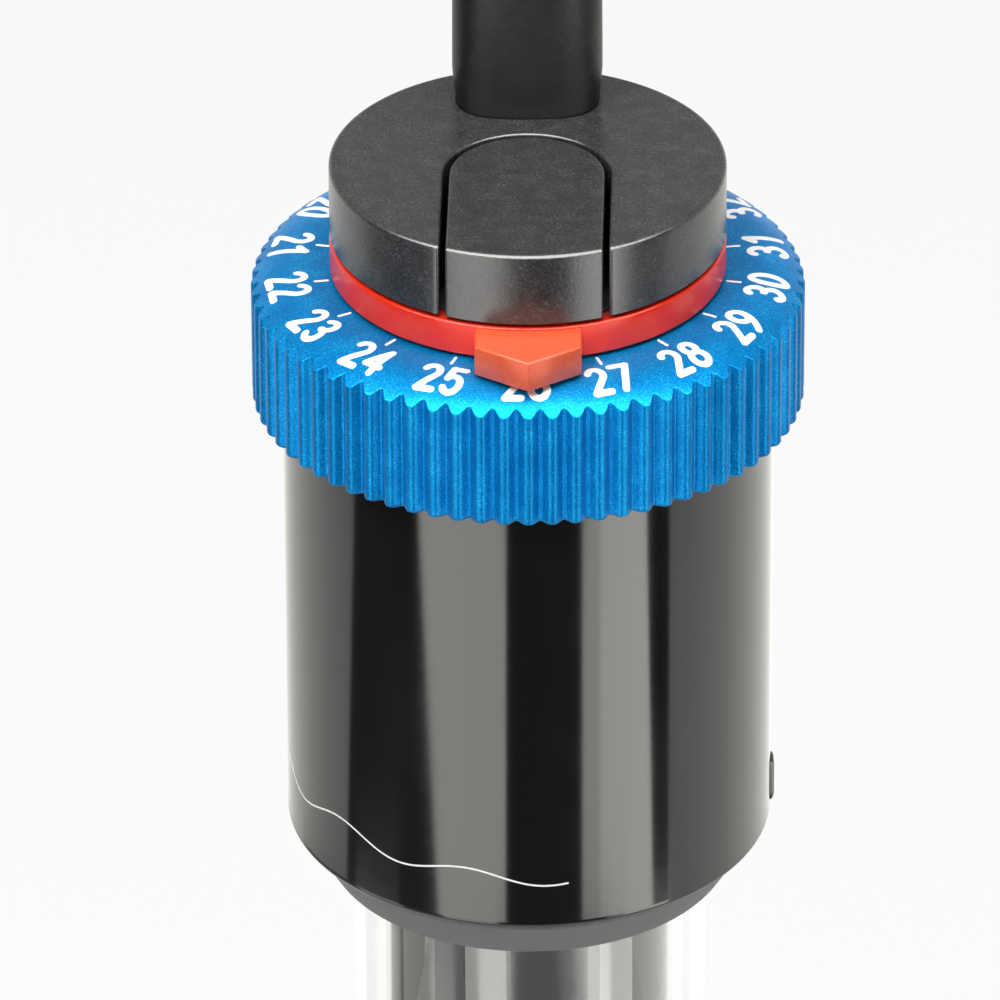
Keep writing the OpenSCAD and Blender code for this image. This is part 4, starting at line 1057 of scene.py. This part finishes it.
def make_scale(sizes, colours):
    """Numbers round the scale, tops towards the axis, each with a tick beside the red ring."""
    half = sizes.stroke / MM / 2
    tall = sizes.digit_h / MM - 2 * half
    foot_r = sizes.digit_top / MM + half + tall
    ink, pace, skew = sizes.ink_t / MM, 20.1, -0.5
    wide = DIGIT_W * SQUEEZE
    shell = Shell()
    for number in range(FIRST_NUMBER, LAST_NUMBER + 1):
        turn = math.radians(pace * (number - FRONT_NUMBER) + skew)
        spin = np.array([[math.cos(turn), math.sin(turn)], [-math.sin(turn), math.cos(turn)]])

        def place(flat, rise, spin=spin):
            plan = np.stack([flat[..., 0], flat[..., 1] - foot_r], -1) @ spin + np.array([0, PRINT_OFF])
            return raised(plan, scale_height(np.linalg.norm(plan, axis=-1)) + rise * ink)

        for k, digit in enumerate(str(number)):
            left = k * (wide + DIGIT_GAP) - wide - DIGIT_GAP / 2
            for stroke in DIGITS[digit]:
                ribbon(shell, (stroke * np.array([SQUEEZE, 1]) + np.array([left, 0])) * tall, half, place)
        tick = np.linspace((0, foot_r - TICK_R[0]), (0, foot_r - TICK_R[1]), 5)
        ribbon(shell, tick, half * 0.42, place)
    piece("dial_scale", shell, ink_paint(colours), "dial", sharp=60)


def ink_paint(colours):
    return plastic("white_ink", tuple(colours.ink), 0.45, 0.2, 0.003, 0.05)


# ---- Red ring ----

def make_pointer(colours):
    """Ring under the cap, with a flat pointer whose nose is a shallow chevron. The pointer is its
    outline set in by each station's amount."""
    low, top = RING_LOW[2], RING_HIGH[2]
    shell = Shell()
    profile = rounded([(BORE_R, low), (CAP_R, low), (CAP_R, top), (BORE_R, top)], [0.1, 0.15, 0.22, 0.1])
    revolve(shell, profile, 256)
    paint = plastic("pointer_red", tuple(colours.pointer), 0.24, 0.4, 0.004, 0.06, level=0.25)
    piece("red_pointer_ring", shell, paint, "pointer", replaces=("pointer_ring",), sharp=35)

    half, nose_y, shoulder_y = 3.8, RING_LOW[1], RING_LOW[1] + 2.45
    plate_top, root_y, edge = top - 0.2, -13.2, 0.22
    slant = half / math.hypot(half, shoulder_y - nose_y)

    def outline(inset):
        """Right half: root, shoulder and nose with every side set in alike, then mirrored."""
        x = half - inset
        nose = nose_y + inset / slant
        shoulder = nose + (shoulder_y - nose_y) / half * x
        right = np.array([(x, root_y), (x, (root_y + shoulder) / 2), (x, shoulder + 0.03),
                          (x - 0.03, shoulder - 0.01), (x / 2, (shoulder + nose) / 2), (0.03, nose + 0.015)])
        return np.vstack([right, right[::-1] * np.array([-1, 1])])

    turn = np.radians(np.linspace(0, 90, 5))
    stations = [(plate_top, edge + 0.1)]
    stations += [(plate_top - edge * (1 - math.cos(a)), edge * (1 - math.sin(a))) for a in turn]
    stations += [(low + 0.15, 0), (low + 0.05, 0.05), (low, 0.15)]
    rows = np.array([raised(outline(inset), z) for z, inset in stations])
    shell = Shell()
    shell.grid(rows, wrap=True)
    shell.fill(rows[0])
    shell.fill(rows[-1])
    # The pointer is the ring's red plastic painted orange: a painted highlight for its lit top face.
    paint = plastic("pointer_orange", tuple(colours.plate), 0.3, 0.4, 0.006, 0.08, level=0.3)
    piece("red_pointer", shell, paint, "pointer", sharp=35)


# ---- Sleeve, seal and tube ----

def make_sleeve(colours):
    """Sleeve and its lip as one turned profile, and a small pillowed rib on its right side."""
    low, top = SLEEVE_LOW[2], SLEEVE_HIGH[2]
    rib_half, rib_tall, rib_low, rib_proud = 0.8, 3.4, 0.6, 0.35
    shell = Shell()
    profile = rounded(
        [(SLEEVE_RI, low), (SLEEVE_R, low), (SLEEVE_R, top), (LIP_R, top), (LIP_R, top - LIP_T),
         (SLEEVE_RI, top - LIP_T)],
        [0.15, 0.42, 0.4, 0.1, 0.1, 0.2])
    revolve(shell, profile, 288)
    u, v = np.meshgrid(np.linspace(-1, 1, 17), np.linspace(-1, 1, 31))
    proud = rib_proud * (1 - np.abs(u) ** 6) ** 0.5 * (1 - np.abs(v) ** 10) ** 0.5
    turn = np.degrees(u * rib_half / SLEEVE_R)
    height = low + rib_low + rib_tall * (v + 1) / 2
    front = raised(polar(SLEEVE_R - 0.05 + proud, turn), height)
    back = raised(polar(SLEEVE_R - 0.6, turn), height)
    shell.grid(front)
    shell.grid(back)
    edge = [np.concatenate([g[0], g[1:, -1], g[-1, -2::-1], g[-2:0:-1, 0]]) for g in (front, back)]
    shell.grid(np.array(edge), wrap=True)
    paint = sleeve_plastic(colours)
    piece("head_sleeve", shell, paint, "housing", replaces=("sleeve",))


def make_wave(colours):
    """A plain thin water line printed on the sleeve: a long wave whose swing dies out to the right."""
    start, end, level, fall = -84, 9, 256.5, 1.4
    swing_h, waves, phase, fade = 0.75, 2.6, 20, 0.45
    turn = np.linspace(start, end, 260)
    share = (turn - start) / (end - start)
    swings = np.cos(np.radians(share * 360 * waves + phase))
    height = level - fall * share + swing_h * swings * (1 - fade * share)

    def place(flat, rise):
        return raised(polar(SLEEVE_R + rise * 0.015, np.degrees(flat[..., 0] / SLEEVE_R) - 90), flat[..., 1])

    shell = Shell()
    ribbon(shell, np.stack([np.radians(turn) * SLEEVE_R, height], -1), 0.075, place)
    piece("water_line", shell, ink_paint(colours), "housing", sharp=60)


def make_collar(colours):
    """Rubber seal as one turned profile: a cone below the sleeve and a thin wall up inside it."""
    low, top = COLLAR_LOW[2], COLLAR_HIGH[2]
    seat, wide, sleeve_z = TUBE_SEAT_R + 0.05, 16.8, SLEEVE_LOW[2]
    shell = Shell()
    profile = rounded(
        [(seat, low + 0.4), (TUBE_R + 0.4, low), (TUBE_R + 1.8, low), (wide, sleeve_z - 0.6),
         (wide, sleeve_z), (SLEEVE_RI - 0.05, sleeve_z), (SLEEVE_RI - 0.05, top), (seat, top)],
        [0.1, 0.1, 0.35, 0.3, 0.08, 0.05, 0.2, 0.2])
    revolve(shell, profile, 224)
    paint = plastic("seal_rubber", tuple(colours.collar), 0.55, 0.3, 0.01, 0.12)
    piece("grey_seal", shell, paint, "housing", replaces=("seal_collar",))


def make_tube():
    """Drawn glass tube with a rounded closed end and a fire-polished rim, as one closed wall."""
    wall, rim_r = TUBE_R - TUBE_RI, (TUBE_SEAT_R - TUBE_RI) / 2
    bend = np.linspace(-90, 0, 19)
    middle = np.array([TUBE_R - TUBE_END_R, TUBE_END_R])
    outer = middle + polar(TUBE_END_R, bend)
    inner = middle + polar(TUBE_END_R - wall, bend[::-1])
    rim = np.array([TUBE_RI + rim_r, TUBE_HIGH[2] - rim_r]) + polar(rim_r, np.linspace(0, 180, 9))
    seat = [(TUBE_R, COLLAR_LOW[2] - 0.1), (TUBE_SEAT_R, COLLAR_LOW[2] + 0.15)]
    straight = np.stack([np.full(7, TUBE_R), np.append(np.linspace(20, 237, 6), COLLAR_LOW[2] - 0.4)], -1)
    profile = np.vstack([[(0.0, 0.0)], outer, straight, seat, rim, inner, [(0.0, wall)]])
    shell = Shell()
    revolve(shell, profile, 160, closed=False)
    piece("heater_glass", shell, glass("clear_glass", (0.99, 0.997, 0.994)), "housing",
          replaces=("glass_tube",), sharp=50)


# ---- Heating element ----

def make_winding():
    """Resistance wire curled into a fine coil, which itself winds round the former's ribs. The path
    is a helix plus a small circle that turns with it, and the wire's rings stand square to it."""
    turns, wire_r, curl, curl_pace = 24, 0.25, 0.55, 1.15
    middle_r = (WINDING_HIGH[0] + FORMER_RIB_R) / 2
    low, high = WINDING_LOW[2] + 0.8, WINDING_HIGH[2] - 0.8
    curls = int(2 * np.pi * middle_r * turns / curl_pace)
    t = np.linspace(0, 1, curls * 9 + 1)
    angle = 2 * np.pi * turns * t
    spin = 2 * np.pi * curls * t
    spine = np.stack([np.cos(angle), np.sin(angle), np.zeros_like(t)], -1)
    up = np.array([0, 0, 1.0])
    out = np.cos(spin)[:, None] * spine + np.sin(spin)[:, None] * up
    path = middle_r * spine + (low + (high - low) * t)[:, None] * up + curl * out
    tangent = unit(np.gradient(path, axis=0))
    side = unit(np.cross(tangent, out))
    out = np.cross(side, tangent)
    turn = np.radians(around(5))[None, :, None]
    shell = Shell()
    shell.tube(path[:, None] + wire_r * (out[:, None] * np.cos(turn) + side[:, None] * np.sin(turn)))
    piece("element_winding", shell, metal("resistance_wire", (0.36, 0.34, 0.33), 0.4), "housing",
          sharp=80, replaces=("heating_winding",))


def make_former():
    """Ribbed steatite former: its section is a round core with six ribs, its ends two plain bands."""
    low, high = FORMER_LOW[2], FORMER_HIGH[2]
    core, ribs, band, bore = 6.2, 6, 7.0, 1.45
    turn = around(432)
    off = np.abs((turn % (360 / ribs)) - 180 / ribs)
    flank = np.clip((off - 8.3) / 2.0, 0, 1)
    ribbed = FORMER_RIB_R - (FORMER_RIB_R - core) * flank * flank * (3 - 2 * flank)
    # distance from an end, and radius there
    end = [(0, FORMER_RIB_R - 0.4), (0.1, FORMER_RIB_R - 0.15), (0.4, FORMER_RIB_R),
           (band - 0.3, FORMER_RIB_R), (band, FORMER_RIB_R - 0.1), (band + 0.25, ribbed)]
    levels = [(low + in_z, r) for in_z, r in end] + [(high - in_z, r) for in_z, r in reversed(end)]
    levels += [(high, bore), (low, bore)]
    shell = Shell()
    shell.grid(np.array([raised(polar(r, turn), z) for z, r in levels]), wrap=True, loop=True)
    paint = plastic("steatite", (0.74, 0.71, 0.62), 0.6, 0.4, 0.03, 0.1)
    piece("element_former", shell, paint, "housing", replaces=("ceramic_former",))


def make_cushion():
    """Felted glass-fibre pad in the tube's closed end, its top soft and a little uneven."""
    top, play, lobes = CUSHION_HIGH[2], 0.1, 5
    middle = np.array([TUBE_R - TUBE_END_R - play, TUBE_END_R])
    lower = middle + polar(TUBE_RI + TUBE_END_R - TUBE_R - play, np.linspace(-90, 0, 13))
    upper = np.array([8.2, top - 2.2]) + polar(2.0, np.linspace(0, 90, 9))
    profile = np.vstack([[(0.0, 1.75)], lower, upper, [(5, top - 0.15), (2.5, top - 0.1), (0.0, top - 0.1)]])
    radius, height = profile[:, :1], profile[:, 1:]
    turn = around(96)[None, :]
    soft = 0.22 * np.sin(np.radians(lobes * turn)) * np.sin(height * 1.1) * (radius > 5)
    ring = polar(radius, turn) * (1 - np.abs(soft) / 12)[..., None]
    shell = Shell()
    shell.grid(raised(ring, height), wrap=True)
    paint = Paint("glass_felt", Roughness=0.9, Specular_IOR_Level=0.2)
    fibre = paint.noise(0.5, 6.0, 0.75, (1, 1, 3))
    paint.set(Base_Color=paint.ramp(fibre, (0.3, (0.62, 0.61, 0.56)), (0.7, (0.86, 0.85, 0.81))))
    made = piece("glass_fibre_pad", shell, paint.bump(fibre, 0.25).material, "housing",
                 replaces=("bottom_cushion",))


def make_inner_sleeve():
    """Dark varnished tube round the thermostat."""
    low, top = INNER_LOW[2], INNER_HIGH[2]
    out_r = INNER_HIGH[0]
    in_r = out_r - 1
    shell = Shell()
    revolve(shell, rounded([(in_r, low), (out_r, low), (out_r, top), (in_r, top)], [0.2] * 4), 160)
    paint = plastic("varnished_tube", (0.016, 0.016, 0.017), 0.14, 0.8, 0.004, 0.3, level=1.0)
    piece("thermostat_sleeve", shell, paint, "housing", replaces=("inner_sleeve",))


# ---- Finishes of the nodes that keep their CAD shape ----

def node_finishes():
    """Material of each CAD node that stays, by its name."""
    steel = metal("zinc_steel", (0.58, 0.58, 0.6), 0.34)
    brass = metal("turned_brass", (0.72, 0.5, 0.2), 0.28, (1, 1, 6))
    silver = metal("contact_silver", (0.86, 0.85, 0.82), 0.22)
    dark = plastic("core_plastic", (0.022, 0.022, 0.024), 0.45)
    seal = plastic("soft_seal", (0.03, 0.03, 0.031), 0.6)
    mica = plastic("mica_board", (0.42, 0.34, 0.2), 0.4, 0.6, 0.02, 0.35)
    return {
        "head_core": dark, "bearing_plate": dark, "plate_screws": steel,
        "pinion": plastic("acetal", (0.7, 0.67, 0.58), 0.4), "adjust_spindle": brass,
        "spindle_seal": seal, "core_seal": seal, "tube_gasket": seal,
        "tube_bung": plastic("bung_phenolic", (0.05, 0.03, 0.02), 0.4, 0.4, 0.01, 0.3),
        "cable_wires": plastic("wire_sheath", (0.24, 0.1, 0.04), 0.4, 0.5, 0.004),
        "switch_frame": steel, "adjust_slider": plastic("slider_acetal", (0.75, 0.7, 0.58), 0.45),
        "contact_arm": metal("spring_bronze", (0.62, 0.36, 0.18), 0.3, (1, 1, 8)),
        "arm_contact": silver, "fixed_contact": silver,
        "bimetal_strip": metal("bimetal", (0.5, 0.42, 0.3), 0.36, (1, 1, 8)),
        "snap_magnet": metal("sintered_magnet", (0.14, 0.14, 0.15), 0.5),
        "terminals": brass, "thermal_fuse": plastic("fuse_body", (0.72, 0.72, 0.68), 0.35),
        "pilot_lamp": glass("lamp_glass", (1.0, 0.6, 0.35)),
        "lamp_resistor": plastic("resistor_lacquer", (0.55, 0.38, 0.16), 0.35, 0.8, 0.004, 0.25),
        "mica_discs": mica, "tie_rod": steel, "winding_clips": steel,
        "element_leads": metal("plated_lead", (0.66, 0.65, 0.62), 0.3, (1, 1, 4)),
        "plug_pins": metal("nickel_pin", (0.74, 0.72, 0.68), 0.2, (1, 5, 1)),
        "pin_sleeves": plastic("pin_sleeve", (0.02, 0.02, 0.022), 0.35),
    }


# ---- Operators ----

class HEATER_OT_stage(bpy.types.Operator):
    """Camera, white world, floor, softboxes and reflection cards"""
    bl_idname = "heater.stage"
    bl_label = "Stage"

    def execute(self, context):
        studio = context.scene.heater_studio
        context.scene.view_settings.view_transform = "Standard"
        make_camera(studio)
        make_world(studio)
        make_floor()
        make_cards()
        make_lamp("key", (-480, -600, 1250), 420, studio.key)
        make_lamp("top", (40, -160, 1150), 700, studio.top)
        make_lamp("fill", (900, -500, 500), 600, studio.fill)
        return {"FINISHED"}


class HEATER_OT_cord(bpy.types.Operator):
    """Mains cord with its strain relief, strap and plug"""
    bl_idname = "heater.cord"
    bl_label = "Cord and plug"

    def execute(self, context):
        scene = context.scene
        cord, path = make_cord(scene.heater_sizes, scene.heater_colours)
        held = [make_relief(scene.heater_colours), make_tie(), make_plug()]
        held += [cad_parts["plug_pins"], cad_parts["pin_sleeves"]]
        (path * MM).tolist()
        return {"FINISHED"}


class HEATER_OT_cap(bpy.types.Operator):
    """Cap and its arched tongue"""
    bl_idname = "heater.cap"
    bl_label = "Cap and tongue"

    def execute(self, context):
        sizes, paint = context.scene.heater_sizes, cap_plastic(context.scene.heater_colours)
        roof = CAP_HIGH[2] - ROOF_T
        make_cap_part("head_cap", 1, TONGUE_HALF + GROOVE_W, roof, paint, sizes, ("cap",), hole=True)
        make_cap_part("cap_arch", -1, TONGUE_HALF, roof + THIN_ROOF, paint, sizes, ("cap_tongue",))
        return {"FINISHED"}


class HEATER_OT_dial(bpy.types.Operator):
    """Fluted dial with its internal gear, and its printed scale"""
    bl_idname = "heater.dial"
    bl_label = "Dial and scale"

    def execute(self, context):
        make_dial(context.scene.heater_sizes, context.scene.heater_colours)
        make_scale(context.scene.heater_sizes, context.scene.heater_colours)
        return {"FINISHED"}


class HEATER_OT_pointer(bpy.types.Operator):
    """Red ring with its pointer"""
    bl_idname = "heater.pointer"
    bl_label = "Red ring"

    def execute(self, context):
        make_pointer(context.scene.heater_colours)
        return {"FINISHED"}


class HEATER_OT_sleeve(bpy.types.Operator):
    """Black sleeve with its water line, and the grey seal under it"""
    bl_idname = "heater.sleeve"
    bl_label = "Sleeve and seal"

    def execute(self, context):
        colours = context.scene.heater_colours
        make_sleeve(colours)
        make_wave(colours)
        make_collar(colours)
        return {"FINISHED"}


class HEATER_OT_tube(bpy.types.Operator):
    """Glass tube and the dark sleeve in it"""
    bl_idname = "heater.tube"
    bl_label = "Glass tube"

    def execute(self, context):
        make_tube()
        make_inner_sleeve()
        return {"FINISHED"}


class HEATER_OT_element(bpy.types.Operator):
    """Ceramic former, heating winding and glass-fibre pad"""
    bl_idname = "heater.element"
    bl_label = "Heating element"

    def execute(self, context):
        make_former()
        make_winding()
        make_cushion()
        return {"FINISHED"}


class HEATER_OT_finishes(bpy.types.Operator):
    """Finishes of the nodes that keep their CAD shape"""
    bl_idname = "heater.finishes"
    bl_label = "Finishes"

    def execute(self, context):
        for name, material in node_finishes().items():
            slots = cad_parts[name].data.materials
            slots.clear()
            slots.append(material)
        return {"FINISHED"}


OPERATORS = (HEATER_OT_stage, HEATER_OT_cord, HEATER_OT_cap, HEATER_OT_dial, HEATER_OT_pointer,
             HEATER_OT_sleeve, HEATER_OT_tube, HEATER_OT_element, HEATER_OT_finishes)


class HEATER_PT_panel(bpy.types.Panel):
    """Sizes, colours and lights of the heater, and a button for each of its pieces"""
    bl_idname = "HEATER_PT_panel"
    bl_label = "Aquarium heater"
    bl_space_type = "VIEW_3D"
    bl_region_type = "UI"
    bl_category = "Heater"

    def draw(self, context):
        for group in (context.scene.heater_sizes, context.scene.heater_colours, context.scene.heater_studio):
            column = self.layout.column()
            for name in group.__annotations__:
                column.prop(group, name)
        for operator in OPERATORS:
            self.layout.operator(operator.bl_idname)


CLASSES = (HeaterSizes, HeaterColours, HeaterStudio, *OPERATORS, HEATER_PT_panel)


def register():
    for one in CLASSES:
        bpy.utils.register_class(one)
    bpy.types.Scene.heater_sizes = bpy.props.PointerProperty(type=HeaterSizes)
    bpy.types.Scene.heater_colours = bpy.props.PointerProperty(type=HeaterColours)
    bpy.types.Scene.heater_studio = bpy.props.PointerProperty(type=HeaterStudio)


def unregister():
    del bpy.types.Scene.heater_sizes, bpy.types.Scene.heater_colours, bpy.types.Scene.heater_studio
    for one in reversed(CLASSES):
        bpy.utils.unregister_class(one)


def main():
    register()
    bpy.ops.heater.stage()
    bpy.ops.heater.cord()
    bpy.ops.heater.cap()
    bpy.ops.heater.dial()
    bpy.ops.heater.pointer()
    bpy.ops.heater.sleeve()
    bpy.ops.heater.tube()
    bpy.ops.heater.element()
    bpy.ops.heater.finishes()


if __name__ == "__main__":
    main()
